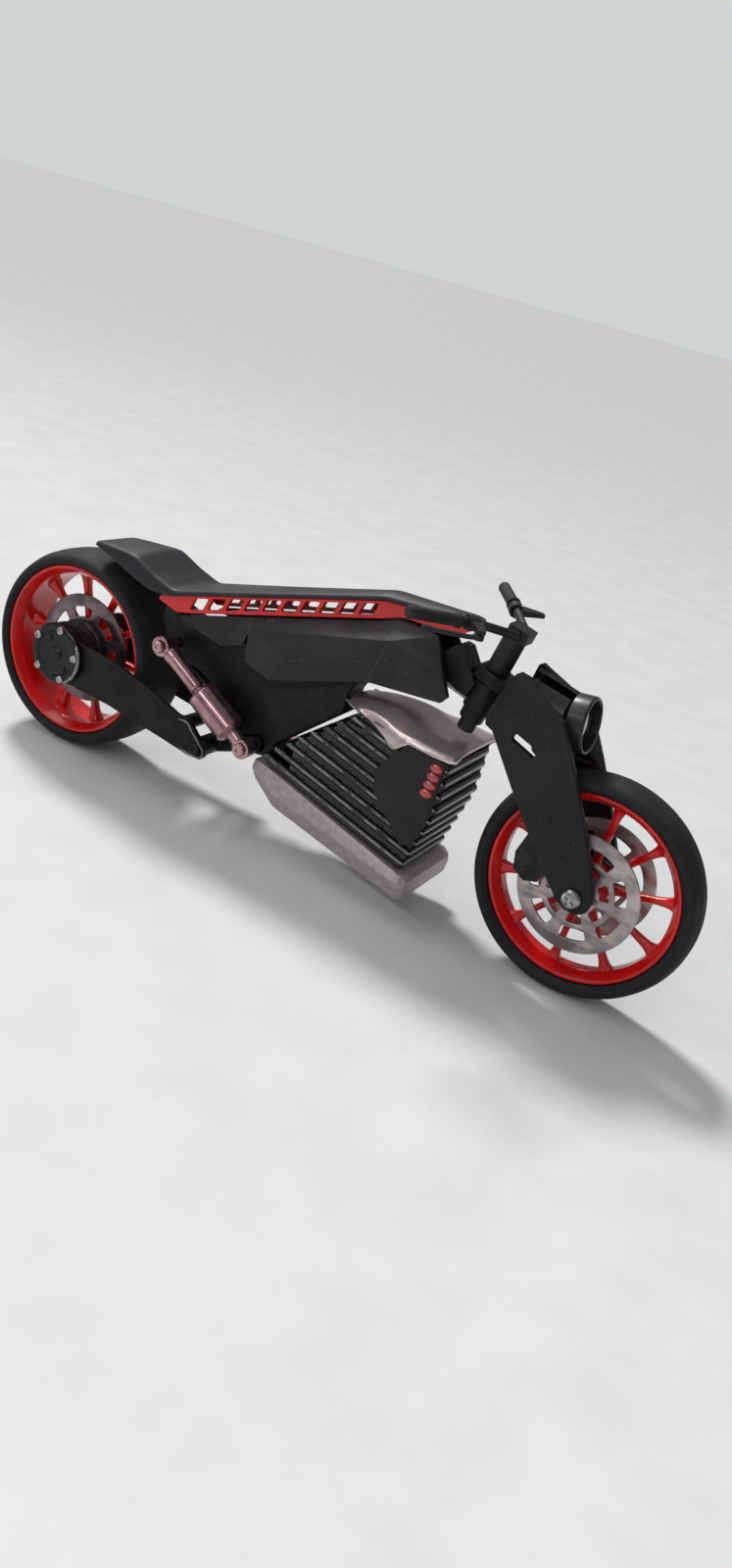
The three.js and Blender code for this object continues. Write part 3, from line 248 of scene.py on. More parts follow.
def painted(name, dark, light, rough=(0.4, 0.6), mottle=60.0, grain=1400.0, grain_h=0.00004, dust=None, dust_amount=(0.62, 0.74),
            edge_wear_and_highlight=None, edge_wear_and_highlight_amount=0.5, specks=None, metal=0.0, coat=0.0, spec=0.5, streak=None, wave=0.0, edge=0.00045, crest_highlight=None):
    """Moulded or painted surface: cloudy two-tone colour, dust patches, pale specks, edges lightened partly as wear
    and partly as painted highlight, painted highlight lines along ribs, fine grain.
    """
    n = Nodes(name)
    cloud = n.noise(mottle, 6.0, 0.6)
    col = n.mix(n.ramp(cloud, 0.35, 0.68), dark, light)
    if streak:
        st = n.noise(90.0, 4.0, 0.5, n.stretch(streak))
        col = n.mix(n.math("MULTIPLY", n.ramp(st, 0.5, 0.75), 0.35), col, light)
    if dust:
        d = n.ramp(n.noise(mottle * 0.45, 8.0, 0.68, distort=0.4), dust_amount[0], dust_amount[1])
        col = n.mix(n.math("MULTIPLY", d, 0.55), col, dust)
    if specks:
        v = n.node("ShaderNodeTexVoronoi")
        v.inputs["Scale"].default_value = 620.0
        n.link(n.coord, v.inputs["Vector"])
        dot = n.math("SUBTRACT", 1.0, n.ramp(v.outputs["Distance"], 0.05, 0.17))
        where = n.ramp(n.noise(150.0, 3.0), 0.55, 0.66)
        col = n.mix(n.math("MULTIPLY", n.math("MULTIPLY", dot, where), 0.8), col, specks)
    fine = n.noise(grain, 3.0, 0.6)
    # pale corners: partly edge wear, partly painted highlight where light would catch the edges
    if edge_wear_and_highlight:
        w = n.math("MULTIPLY", n.edges(edge), n.ramp(n.noise(420.0, 5.0, 0.7), 0.34, 0.6))
        col = n.mix(n.math("MULTIPLY", w, edge_wear_and_highlight_amount), col, edge_wear_and_highlight)
    if crest_highlight:
        # painted highlight lines along evenly spaced ribs, standing in for light glinting on each rib's upper crest:
        # height = z + lean x, in model millimetres
        lean, start, pitch, at, tone = crest_highlight
        sep = n.node("ShaderNodeSeparateXYZ")
        n.link(n.coord, sep.inputs[0])
        h = n.math("ADD", sep.outputs[2], n.math("MULTIPLY", sep.outputs[0], lean))
        f = n.math("FRACT", n.math("DIVIDE", n.math("SUBTRACT", h, start / 1000.0), pitch / 1000.0))
        line = n.math("SUBTRACT", 1.0, n.ramp(n.math("ABSOLUTE", n.math("SUBTRACT", f, at)), 0.025, 0.075))
        line = n.math("MULTIPLY", line, n.ramp(n.noise(150.0, 5.0, 0.65), 0.36, 0.58))
        col = n.mix(n.math("MULTIPLY", line, 0.75), col, tone)
    r = n.span(n.noise(mottle * 2.3, 5.0), rough[0], rough[1])
    nor = n.bump(fine, 0.55, grain_h)
    if wave:
        nor = n.bump(n.noise(130.0, 2.0), 0.5, wave, nor)
    return n.set(color=col, rough=r, metal=metal, normal=nor, coat=coat, spec=spec)


def turned_metal(name, dark, light, centre, rough=(0.28, 0.42)):
    """Ring-turned metal: fine circles round an axis parallel to Y through centre (x, z)."""
    n = Nodes(name)
    sub = n.node("ShaderNodeVectorMath", operation="MULTIPLY")
    off = n.node("ShaderNodeVectorMath", operation="SUBTRACT")
    off.inputs[1].default_value = P(centre[0], 0, centre[1])
    n.link(n.coord, off.inputs[0])
    sub.inputs[1].default_value = (1, 0, 1)
    n.link(off.outputs[0], sub.inputs[0])
    ln = n.node("ShaderNodeVectorMath", operation="LENGTH")
    n.link(sub.outputs[0], ln.inputs[0])
    c = n.node("ShaderNodeCombineXYZ")
    n.link(ln.outputs["Value"], c.inputs[0])
    rings = n.noise(2600.0, 3.0, 0.6, c.outputs[0])
    cloud = n.noise(110.0, 6.0, 0.6)
    col = n.mix(n.ramp(cloud, 0.34, 0.68), dark, light)
    col = n.mix(n.math("MULTIPLY", n.ramp(rings, 0.45, 0.7), 0.3), col, light)
    r = n.span(n.math("ADD", n.math("MULTIPLY", rings, 0.5), n.math("MULTIPLY", cloud, 0.5)), rough[0], rough[1])
    return n.set(color=col, rough=r, metal=0.9, normal=n.bump(rings, 0.35, 0.00003), aniso=0.5)


def paint_red(name):
    n = Nodes(name)
    cloud = n.noise(70.0, 5.0, 0.6)
    col = n.mix(n.ramp(cloud, 0.32, 0.7), srgb(186, 8, 12), srgb(214, 18, 18))
    flake = n.node("ShaderNodeTexVoronoi")
    flake.inputs["Scale"].default_value = 3800.0
    n.link(n.coord, flake.inputs["Vector"])
    col = n.mix(n.math("MULTIPLY", n.ramp(flake.outputs["Color"], 0.75, 0.95), 0.12), col, srgb(235, 70, 50))
    dirt = n.math("MULTIPLY", n.ramp(n.noise(160.0, 7.0, 0.7), 0.62, 0.75), 0.35)
    col = n.mix(dirt, col, srgb(92, 16, 18))
    r = n.span(n.noise(210.0, 5.0), 0.2, 0.34)
    peel = n.noise(520.0, 2.0)
    return n.set(color=col, rough=r, metal=0.0, coat=0.35, coat_rough=0.06, normal=n.bump(peel, 0.3, 0.00003), spec=0.35)


def rubber(name, base, pale, dust=True, scale=900.0, scuff=(0.58, 0.75), amount=0.5):
    n = Nodes(name)
    cloud = n.noise(75.0, 6.0, 0.65)
    col = n.mix(n.ramp(cloud, 0.3, 0.72), base, pale)
    if dust:
        sc = n.math("MULTIPLY", n.ramp(n.noise(46.0, 9.0, 0.72, distort=0.6), *scuff), amount)
        col = n.mix(sc, col, srgb(124, 116, 110))
    fine = n.noise(scale, 4.0, 0.7)
    big = n.noise(260.0, 3.0)
    nor = n.bump(fine, 0.7, 0.00006)
    nor = n.bump(big, 0.4, 0.00006, nor)
    return n.set(color=col, rough=n.span(cloud, 0.62, 0.86), normal=nor, spec=0.35)


def glass(name, tint, rough=0.05):
    n = Nodes(name)
    c = n.mix(n.ramp(n.noise(120.0, 4.0), 0.3, 0.7), tint, tuple(min(1.0, v * 1.8) for v in tint[:3]) + (1.0,))
    return n.set(color=c, rough=n.span(n.noise(200.0, 4.0), rough, rough + 0.08), coat=1.0, coat_rough=0.03, spec=0.8,
                 normal=n.bump(n.noise(500.0, 2.0), 0.1, 0.00002))


MAT = {}
MAT["tyre"] = rubber("tyre_rubber", srgb(21, 20, 22), srgb(36, 34, 36), amount=0.22, scuff=(0.64, 0.82))
MAT["red"] = paint_red("red_paint")
MAT["disc_front"] = turned_metal("disc_front_metal", srgb(134, 124, 125), srgb(190, 178, 178), (WB, 0))
MAT["disc_rear"] = turned_metal("disc_rear_metal", srgb(92, 80, 84), srgb(140, 124, 126), (0, 0))
MAT["zinc"] = painted("zinc_screw", srgb(150, 150, 152), srgb(206, 206, 204), (0.22, 0.38), 300.0, 1800.0, 0.00002, metal=1.0)
MAT["steel"] = painted("plain_steel", srgb(110, 112, 116), srgb(150, 150, 152), (0.25, 0.45), 240.0, 1800.0, 0.00002, metal=1.0)
# in these materials the pale edge colour is partly edge wear, partly painted highlight
MAT["fork"] = painted("fork_plate_black", srgb(24, 23, 25), srgb(34, 32, 35), (0.42, 0.58), 40.0, 1500.0, 0.00003, srgb(70, 66, 66), (0.7, 0.86),
                      srgb(128, 124, 122), 0.55, srgb(138, 134, 130), spec=0.24)
MAT["panel"] = painted("side_panel_grey", srgb(23, 21, 24), srgb(39, 36, 39), (0.44, 0.62), 48.0, 1100.0, 0.00004, srgb(84, 78, 78), (0.6, 0.8),
                       srgb(128, 124, 122), 0.5, srgb(170, 166, 160), spec=0.34)
MAT["arm"] = painted("swingarm_grey", srgb(18, 17, 20), srgb(30, 28, 32), (0.36, 0.56), 60.0, 1200.0, 0.00004, srgb(78, 74, 74), (0.68, 0.84),
                     srgb(150, 146, 144), 0.7, srgb(150, 146, 144), spec=0.18)
MAT["body"] = painted("frame_black", srgb(12, 11, 14), srgb(23, 21, 26), (0.4, 0.58), 70.0, 1300.0, 0.00003, srgb(56, 52, 55), (0.68, 0.84),
                      srgb(86, 82, 85), 0.4, spec=0.25)
MAT["head"] = painted("bar_grey_black", srgb(24, 22, 26), srgb(42, 39, 44), (0.46, 0.64), 130.0, 1200.0, 0.00006, srgb(84, 79, 82), (0.68, 0.84),
                      srgb(104, 99, 102), 0.45, spec=0.3)
# battery case: the crest lines are painted highlights on the rib crests; the pale edge colour is partly edge wear,
# partly painted highlight
MAT["case"] = painted("case_black", srgb(7, 6, 8), srgb(16, 14, 18), (0.14, 0.24), 60.0, 1500.0, 0.00002, srgb(44, 40, 44), (0.72, 0.86),
                      srgb(176, 168, 174), 0.85, srgb(110, 106, 108), coat=0.15, spec=0.4, edge=0.0004, crest_highlight=(0.205, 86.87, 5.75, 0.78, srgb(176, 168, 176)))
MAT["side_plate"] = painted("side_plate_grey", srgb(28, 25, 26), srgb(37, 34, 35), (0.46, 0.6), 40.0, 1500.0, 0.00003, srgb(62, 58, 56), (0.68, 0.86),
                            srgb(78, 74, 72), 0.3, spec=0.3)
MAT["seat"] = painted("seat_slate", srgb(29, 28, 33), srgb(44, 42, 48), (0.42, 0.58), 34.0, 1500.0, 0.00004, srgb(70, 66, 72), (0.66, 0.86),
                      srgb(84, 80, 86), 0.35, spec=0.3)
MAT["pan"] = painted("pan_silver_grey", srgb(158, 149, 150), srgb(176, 167, 167), (0.36, 0.5), 420.0, 1600.0, 0.00008, srgb(168, 160, 159), (0.6, 0.8),
                     srgb(206, 198, 194), 0.45, srgb(214, 208, 204), metal=0.4)
MAT["lid"] = painted("lid_silver", srgb(186, 168, 169), srgb(212, 198, 197), (0.25, 0.32), 46.0, 1600.0, 0.00002, None, (0.6, 0.8),
                     srgb(232, 226, 220), 0.4, metal=0.7, coat=0.3, streak=(0.35, 1.6, 1.6))
MAT["shock"] = painted("shock_rose_silver", srgb(158, 120, 126), srgb(188, 152, 155), (0.2, 0.3), 90.0, 1800.0, 0.00002, srgb(120, 92, 96), (0.7, 0.86),
                       srgb(214, 190, 190), 0.4, metal=0.95, coat=0.3)
MAT["grip"] = rubber("grip_rubber", srgb(28, 27, 30), srgb(48, 45, 49), True, 700.0, (0.55, 0.8), 0.35)
MAT["lamp"] = painted("lamp_dark_satin", srgb(29, 26, 29), srgb(46, 42, 46), (0.26, 0.42), 80.0, 1200.0, 0.00003, srgb(78, 72, 74), (0.68, 0.84),
                      srgb(128, 122, 122), 0.5, spec=0.35)
MAT["lens"] = glass("lamp_glass", srgb(14, 11, 11))
MAT["indicator"] = glass("indicator_red", srgb(142, 20, 22), 0.12)
MAT["cover"] = painted("hub_cover_black", srgb(6, 6, 8), srgb(16, 15, 18), (0.2, 0.34), 90.0, 1500.0, 0.00002, srgb(44, 42, 44), (0.7, 0.84),
                       srgb(84, 80, 82), 0.4, coat=0.15, spec=0.22)
MAT["glue"] = painted("glue_grey", srgb(104, 100, 102), srgb(146, 142, 142), (0.16, 0.3), 260.0, 900.0, 0.00012, coat=0.6)
MAT["caliper"] = painted("caliper_grey", srgb(22, 21, 24), srgb(46, 43, 47), (0.3, 0.5), 170.0, 1100.0, 0.00008, srgb(122, 118, 118), (0.6, 0.76),
                         srgb(160, 156, 156), 0.6, metal=0.5, wave=0.0001, spec=0.35)
MAT["motor"] = painted("motor_can", srgb(40, 39, 42), srgb(66, 64, 68), (0.28, 0.42), 90.0, 1500.0, 0.00002, metal=0.7, edge_wear_and_highlight=srgb(140, 138, 140))
MAT["battery"] = painted("battery_wrap", srgb(36, 62, 112), srgb(52, 84, 140), (0.24, 0.4), 120.0, 1000.0, 0.00003, coat=0.3)
MAT["board"] = painted("circuit_board", srgb(20, 74, 42), srgb(34, 104, 60), (0.4, 0.55), 260.0, 900.0, 0.00006, specks=srgb(196, 190, 170))
MAT["servo"] = painted("servo_case", srgb(20, 20, 23), srgb(34, 33, 37), (0.34, 0.5), 120.0, 1200.0, 0.00004)
MAT["nylon"] = painted("nylon_white", srgb(198, 194, 184), srgb(224, 220, 210), (0.5, 0.65), 160.0, 1000.0, 0.00005)

# ------------------------------------------------------------------ mesh helpers


def fillet(pts, rad, seg=4, closed=True):
    """Round the corners of a 2-D polyline; every corner gives seg + 1 points."""
    n, out = len(pts), []
    for i in range(n):
        if not closed and i in (0, n - 1):
            out.append(tuple(pts[i]))
            continue
        a, b, c = Vector(pts[i - 1]), Vector(pts[i]), Vector(pts[(i + 1) % n])
        r = rad[i] if isinstance(rad, (list, tuple)) else rad
        u, w = a - b, c - b
        lu, lw = u.length, w.length
        u, w = u / lu, w / lw
        ang = max(0.05, min(math.pi - 1e-3, u.angle(w)))
        t = min(r / math.tan(ang / 2), 0.46 * lu, 0.46 * lw) if r > 0 else 1e-4
        t = max(t, 1e-4)
        p0, p1 = b + u * t, b + w * t
        for k in range(seg + 1):
            s = k / seg
            q = p0 * (1 - s) ** 2 + b * 2 * s * (1 - s) + p1 * s * s
            out.append((q.x, q.y))
    return out


def lathe(bm, prof, m, n=96, closed=True):
    """Turn a profile of (radius, height) about local Z."""
    rings = []
    for r, h in prof:
        if r < 1e-5:
            rings.append([bm.verts.new(m @ Vector((0, 0, h)))])
        else:
            rings.append([bm.verts.new(m @ Vector((r * math.cos(2 * math.pi * k / n), r * math.sin(2 * math.pi * k / n), h))) for k in range(n)])
    for i in range(len(rings) if closed else len(rings) - 1):
        a, b = rings[i], rings[(i + 1) % len(rings)]
        if len(a) == 1 and len(b) == 1:
            continue
        for k in range(n):
            q = (k + 1) % n
            if len(a) == 1:
                bm.faces.new((a[0], b[k], b[q]))
            elif len(b) == 1:
                bm.faces.new((a[k], b[0], a[q]))
            else:
                bm.faces.new((a[k], b[k], b[q], a[q]))


def loft(bm, rings, cap=True):
    vs = [[bm.verts.new(p) for p in r] for r in rings]
    n = len(vs[0])
    for a, b in zip(vs, vs[1:]):
        for k in range(n):
            q = (k + 1) % n
            bm.faces.new((a[k], a[q], b[q], b[k]))
    if cap:
        bm.faces.new(vs[0][::-1])
        bm.faces.new(vs[-1])


def inset(loop, d):
    """Move a closed 2-D loop to its left by d (into the material for a counter-clockwise outline)."""
    out, n = [], len(loop)
    for i in range(n):
        a, b, c = Vector(loop[i - 1]), Vector(loop[i]), Vector(loop[(i + 1) % n])
        u, w = (b - a), (c - b)
        if u.length < 1e-9 or w.length < 1e-9:
            out.append(loop[i])
            continue
        u.normalize()
        w.normalize()
        n1, n2 = Vector((-u.y, u.x)), Vector((-w.y, w.x))
        s = 1.0 + n1.dot(n2)
        q = b + (n1 + n2) * (d / max(s, 0.35))
        out.append((q.x, q.y))
    return out


def ccw(loop, want=True):
    a = sum(loop[i - 1][0] * loop[i][1] - loop[i][0] * loop[i - 1][1] for i in range(len(loop)))
    return loop if (a > 0) == want else loop[::-1]


def plate(bm, outline, z0, z1, m, holes=(), bev=0.3, seg=3, warp=None, bev_lo=None, bev_hi=None):
    """Flat plate with rounded rims, local X and Y outline, between z0 and z1."""
    loops = [ccw(list(outline))] + [ccw(list(h), False) for h in holes]
    f = warp or (lambda v: v)
    lo_b = bev if bev_lo is None else bev_lo
    hi_b = bev if bev_hi is None else bev_hi
    rows = []
    for k in range(seg + 1):
        a = k / seg * math.pi / 2
        if lo_b > 0 or k == seg:
            rows.append((lo_b * (1 - math.sin(a)), z0 + lo_b * (1 - math.cos(a))))
    for k in range(seg, -1, -1):
        a = k / seg * math.pi / 2
        if hi_b > 0 or k == seg:
            rows.append((hi_b * (1 - math.sin(a)), z1 - hi_b * (1 - math.cos(a))))
    lower, upper = [], []
    for lp in loops:
        prev, n = None, len(lp)
        for d, z in rows:
            cur = [bm.verts.new(m @ f(Vector((x, y, z)))) for x, y in inset(lp, d)]
            if prev:
                for k in range(n):
                    q = (k + 1) % n
                    bm.faces.new((prev[k], prev[q], cur[q], cur[k]))
            else:
                lower.append(cur)
            prev = cur
        upper.append(prev)
    for vs, flip in ((lower, True), (upper, False)):
        flat = [v for lp in vs for v in lp]
        flat_loops = [[Vector((x, y, 0)) for x, y in inset(lp, rows[0][0] if flip else rows[-1][0])] for lp in loops]
        tris = tessellate_polygon(flat_loops)
        for t in tris:
            t = t[::-1] if flip else t
            try:
                bm.faces.new([flat[i] for i in t])
            except ValueError:
                pass


def finish_mesh(bm, name, mats, angle=38, body=None, nodes=()):
    bmesh.ops.recalc_face_normals(bm, faces=bm.faces)
    me = bpy.data.meshes.new(name)
    bm.to_mesh(me)
    bm.free()
    for p in me.polygons:
        p.use_smooth = True
    me.set_sharp_from_angle(angle=math.radians(angle))
    for mt in (mats if isinstance(mats, (list, tuple)) else [mats]):
        me.materials.append(mt)
    o = bpy.data.objects.new(name, me)
    bpy.context.collection.objects.link(o)
    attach(o, body or NODES[nodes[0]]["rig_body"])
    if nodes:
        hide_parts(*nodes)
    return o


def piece(name, mats, build, angle=38, body=None, nodes=()):
    bm = bmesh.new()
    build(bm)
    return finish_mesh(bm, name, mats, angle, body, nodes)


def bevelled(bm, bevel, seg, angle):
    """Bevel the sharp edges; a smaller bevel is used where a large one would leave the surface or fold over."""
    from mathutils.bvhtree import BVHTree
    tree = BVHTree.FromBMesh(bm)
    vol0 = bm.calc_volume()
    for size, clamp in ((bevel, False), (bevel * 0.7, False), (bevel * 0.45, False), (bevel, True), (bevel * 0.25, False)):
        t = bm.copy()
        es = [e for e in t.edges if len(e.link_faces) == 2 and e.calc_face_angle(0.0) > math.radians(angle)]
        bmesh.ops.bevel(t, geom=es, offset=size * MM, offset_type="OFFSET", segments=seg, profile=0.5, affect="EDGES", clamp_overlap=clamp)
        bmesh.ops.remove_doubles(t, verts=t.verts, dist=4e-6)
        far = 0.0
        for v in t.verts:
            near = tree.find_nearest(v.co)
            far = max(far, near[3] if near[3] is not None else 0.0)
        bad = sum(1 for e in t.edges if len(e.link_faces) != 2)
        folded = 0
        for f in t.faces:
            if f.calc_area() < 2e-7:
                continue
            near = tree.find_nearest(f.calc_center_median())
            if near[1] is not None and near[1].dot(f.normal) < -0.2:
                folded += 1
        if far <= 0.95 * size * MM and bad == 0 and folded == 0 and abs(t.calc_volume() - vol0) < 0.12 * abs(vol0):
            bm.free()
            return t, size, clamp
        print("bevel", round(size, 3), clamp, "far", round(far / MM, 3), "open", bad, "folded", folded)
        t.free()
    return bm, 0.0, False


def refine(node, mt, bevel=0.35, seg=2, angle=28, sharp=44, dissolve=1.2, jitter=0.0, freq=60.0, weld=0.02):
    """A CAD node with rounded edges: weld, merge flat faces, bevel the corners."""
    src = NODES[node]
    bm = bmesh.new()
    bm.from_mesh(src.data)
    bm.transform(src.matrix_world)
    bmesh.ops.remove_doubles(bm, verts=bm.verts, dist=weld * MM)
    bmesh.ops.dissolve_limit(bm, angle_limit=math.radians(dissolve), verts=bm.verts[:], edges=bm.edges[:], use_dissolve_boundaries=False)
    bmesh.ops.recalc_face_normals(bm, faces=bm.faces)
    if bevel:
        bm, used, clamp = bevelled(bm, bevel, seg, angle)
        print("refine", node, "bevel", round(used, 3), "clamp", clamp)
    if jitter:
        for v in bm.verts:
            v.co += noise.noise_vector(v.co * freq * 10) * jitter * MM
    o = finish_mesh(bm, "look_" + node, mt, sharp, None, (node,))
    w = o.modifiers.new("even_normals", "WEIGHTED_NORMAL")
    w.keep_sharp = True
    return o


def circle(r, n=48, a0=0.0, cx=0.0, cy=0.0):
    return [(cx + r * math.cos(a0 + 2 * math.pi * k / n), cy + r * math.sin(a0 + 2 * math.pi * k / n)) for k in range(n)]


def arc(r, a0, a1, n):
    return [(r * math.cos(math.radians(a0 + (a1 - a0) * k / n)), r * math.sin(math.radians(a0 + (a1 - a0) * k / n))) for k in range(n + 1)]


def spline(pts, n):
    """Catmull-Rom through equal-length rows of numbers; n steps per span."""
    out = []
    m = len(pts)
    for i in range(m - 1):
        p0, p1, p2, p3 = pts[max(i - 1, 0)], pts[i], pts[i + 1], pts[min(i + 2, m - 1)]
        for k in range(n if i < m - 2 else n + 1):
            t = k / n
            out.append([0.5 * (2 * b + (c - a) * t + (2 * a - 5 * b + 4 * c - d) * t * t + (3 * b - a - 3 * c + d) * t ** 3)
                        for a, b, c, d in zip(p0, p1, p2, p3)])
    return out


def pipe(bm, pts, radii, n=20, squash=1.0):
    """Round bar through 3-D points in millimetres, capped with flat ends."""
    pts = [Vector(p) for p in pts]
    up, rings = None, []
    for i, p in enumerate(pts):
        d = (pts[min(i + 1, len(pts) - 1)] - pts[max(i - 1, 0)]).normalized()
        if up is None:
            up = d.orthogonal().normalized()
        up = (up - d * up.dot(d)).normalized()
        side = d.cross(up).normalized()
        r = radii[i] if isinstance(radii, (list, tuple)) else radii
        rings.append([P(*(p + (up * math.cos(2 * math.pi * k / n) + side * math.sin(2 * math.pi * k / n) * squash) * r)) for k in range(n)])
    loft(bm, rings)


# ------------------------------------------------------------------ tyres
def tyre(name, half, x, rad):
    prof = half + [(r, -y) for r, y in half[::-1]]
    prof = fillet(prof, rad + rad[::-1], 5)

    def b(bm):
        lathe(bm, prof, axis_y(x, 0, 0), 180)
    piece("look_" + name, MAT["tyre"], b, 50, nodes=(name,))


tyre("front_tyre", [(36.8, -4.9), (38.9, -4.9), (38.9, -6.9), (41.2, -9.6), (43.9, -7.9), (45.4, -2.8)], WB, [0.1, 0.2, 0.5, 1.6, 3.4, 7.0])
tyre("rear_tyre", [(36.8, -12.1), (38.9, -12.1), (38.9, -14.2), (40.6, -16.2), (43.0, -14.6), (44.8, -9.6), (45.4, -3.6)], 0, [0.1, 0.2, 0.5, 1.5, 3.6, 8.0, 10.0])


# ------------------------------------------------------------------ cast rims
def spoke(bm, a, x, stations, y_mid=0.0):
    ca, sa = math.cos(a), math.sin(a)
    rings = []
    for r, w, h in spline(stations, 5):
        ring = []
        for k in range(20):
            t = 2 * math.pi * k / 20
            cu, cv = math.cos(t), math.sin(t)
            e = 0.62
            u = w * math.copysign(abs(cu) ** e, cu)
            v = h * math.copysign(abs(cv) ** e, cv)
            ring.append(P(x + r * ca - u * sa, y_mid + v, r * sa + u * ca))
        rings.append(ring)
    loft(bm, rings)


def front_rim(bm):
    m = axis_y(WB, 0, 0)
    rim = [(38.5, -6.4), (38.5, -5.5), (36.4, -4.9), (36.4, 4.9), (38.5, 5.5), (38.5, 6.4), (37.2, 6.4), (34.5, 2.6), (34.5, -2.6), (37.2, -6.4)]
    lathe(bm, fillet(rim, [0.5, 0.2, 0.1, 0.1, 0.2, 0.5, 0.8, 1.6, 1.6, 0.8], 4), m, 180)
    hub = [(5.0, -9.2), (7.2, -9.2), (7.6, -3.4), (9.4, -2.4), (9.4, 2.4), (7.6, 3.4), (7.2, 9.2), (5.0, 9.2)]
    lathe(bm, fillet(hub, [0.3, 0.7, 1.0, 0.8, 0.8, 1.0, 0.7, 0.3], 4), m, 72)
    st = [(8.2, 2.6, 2.0), (10.4, 1.8, 1.85), (14.0, 1.45, 1.7), (21.0, 1.35, 1.6), (27.5, 1.5, 1.65), (31.2, 1.85, 1.8), (33.4, 2.5, 2.1), (35.5, 3.8, 2.7)]
    for i in range(10):
        spoke(bm, math.radians(86.3 + 36 * i), WB, st)


def rear_rim(bm):
    m = axis_y(0, 0, 0)
    rim = [(38.5, -13.7), (38.5, -12.8), (36.4, -12.1), (36.4, 12.1), (38.5, 12.8), (38.5, 13.7), (37.2, 13.7), (34.6, 9.5), (34.6, -9.5), (37.2, -13.7)]
    lathe(bm, fillet(rim, [0.5, 0.2, 0.1, 0.1, 0.2, 0.5, 0.8, 2.0, 2.0, 0.8], 4), m, 180)
    hub = [(5.0, -4.4), (12.4, -4.4), (12.4, 3.0), (9.0, 4.0), (8.4, 15.6), (6.4, 18.2), (5.0, 18.2)]
    lathe(bm, fillet(hub, [0.2, 0.6, 1.0, 1.2, 0.8, 0.5, 0.3], 4), m, 72)
    st = [(10.9, 2.7, 2.1), (12.8, 2.0, 2.05), (16.5, 1.6, 2.0), (23.0, 1.45, 2.0), (28.0, 1.6, 2.05), (31.2, 2.0, 2.3), (33.4, 2.7, 2.8), (35.5, 4.0, 3.6)]
    for i in range(10):
        spoke(bm, math.radians(70 + 36 * i), 0, st)


piece("look_front_rim", MAT["red"], front_rim, 45, nodes=("front_rim",))
piece("look_rear_rim", MAT["red"], rear_rim, 45, nodes=("rear_rim",))


# ------------------------------------------------------------------ brake discs
def disc(name, radius, bore, y, phase, x, mt):
    holes = [circle(bore, 48)]
    for i in range(7):
        a = phase + i * 360 / 7
        for r0, r1, w, f in ((14.6, 19.2, 17, 1.7), (8.4, 12.4, 16, 1.3)):
            lp = arc(r1, a - w, a + w, 12) + arc(r0, a + w, a - w, 8)
            rr = [f] + [0.05] * 11 + [f, f] + [0.05] * 7 + [f]
            # round only the four corners of the slot
            q = []
            n = len(lp)
            for k in range(n):
                if rr[k] < 0.1:
                    q.append(lp[k])
                else:
                    b = Vector(lp[k])
                    pa, pc = Vector(lp[k - 1]), Vector(lp[(k + 1) % n])
                    u, v = (pa - b), (pc - b)
                    p0 = b + u.normalized() * min(f, u.length * (0.9 if u.length < 2 else 0.46))
                    p1 = b + v.normalized() * min(f, v.length * (0.9 if v.length < 2 else 0.46))
                    for s in range(6):
                        s /= 5
                        z = p0 * (1 - s) ** 2 + b * 2 * s * (1 - s) + p1 * s * s
                        q.append((z.x, z.y))
            holes.append(q)
    m = place((x, y, 0), (1, 0, 0), (0, 0, 1), (0, -1, 0))

    def b(bm):
        plate(bm, circle(radius, 120), -0.5, 0.5, m, holes, 0.16, 2)
    piece("look_" + name, mt, b, 35, nodes=(name,))


disc("front_brake_disc_right", 24.4, 5.2, -10.2, 25, WB, MAT["disc_front"])
disc("front_brake_disc_left", 24.4, 5.2, 10.2, 25, WB, MAT["disc_front"])
disc("rear_brake_disc", 25.0, 5.6, -5.2, 50, 0, MAT["disc_rear"])


def turned(name, prof, m, mt, nodes=None, n=72, closed=True, rad=0.2, angle=40, seg=3):
    def b(bm):
        if closed:
            lathe(bm, fillet(prof, rad, seg), m, n)
        else:
            lathe(bm, fillet(prof, rad, seg, False), m, n, False)
    return piece(name, mt, b, angle, nodes=nodes)


for side, sg in (("right", -1), ("left", 1)):
    turned("look_front_bearing_" + side, [(2.35, sg * 6.1), (4.7, sg * 6.1), (4.7, sg * 9.0), (4.1, sg * 9.0), (3.9, sg * 8.7), (3.1, sg * 8.7), (2.9, sg * 9.0), (2.35, sg * 9.0)],
           axis_y(WB, 0, 0), MAT["steel"], ("front_bearing_" + side,), 48, rad=0.12)
turned("look_rear_bearing_right", [(2.85, -4.2), (4.7, -4.2), (4.7, -1.2), (2.85, -1.2)], axis_y(0, 0, 0), MAT["steel"], ("rear_bearing_right",), 48)
turned("look_rear_bearing_left", [(2.85, 14.4), (4.7, 14.4), (4.7, 17.9), (4.2, 17.9), (4.0, 17.6), (3.4, 17.6), (3.2, 17.9), (2.85, 17.9)], axis_y(0, 0, 0), MAT["steel"], ("rear_bearing_left",), 48, rad=0.1)
turned("look_motor_can", [(5.6, -6.1), (13.2, -6.1), (13.6, -6.6), (13.6, -9.2), (13.2, -9.5), (13.2, -15.0), (13.6, -15.3), (13.6, -17.9), (12.2, -17.9), (12.2, -7.9), (5.6, -7.9)],
       axis_y(0, 0, 0), MAT["motor"], ("motor_can",), 120)


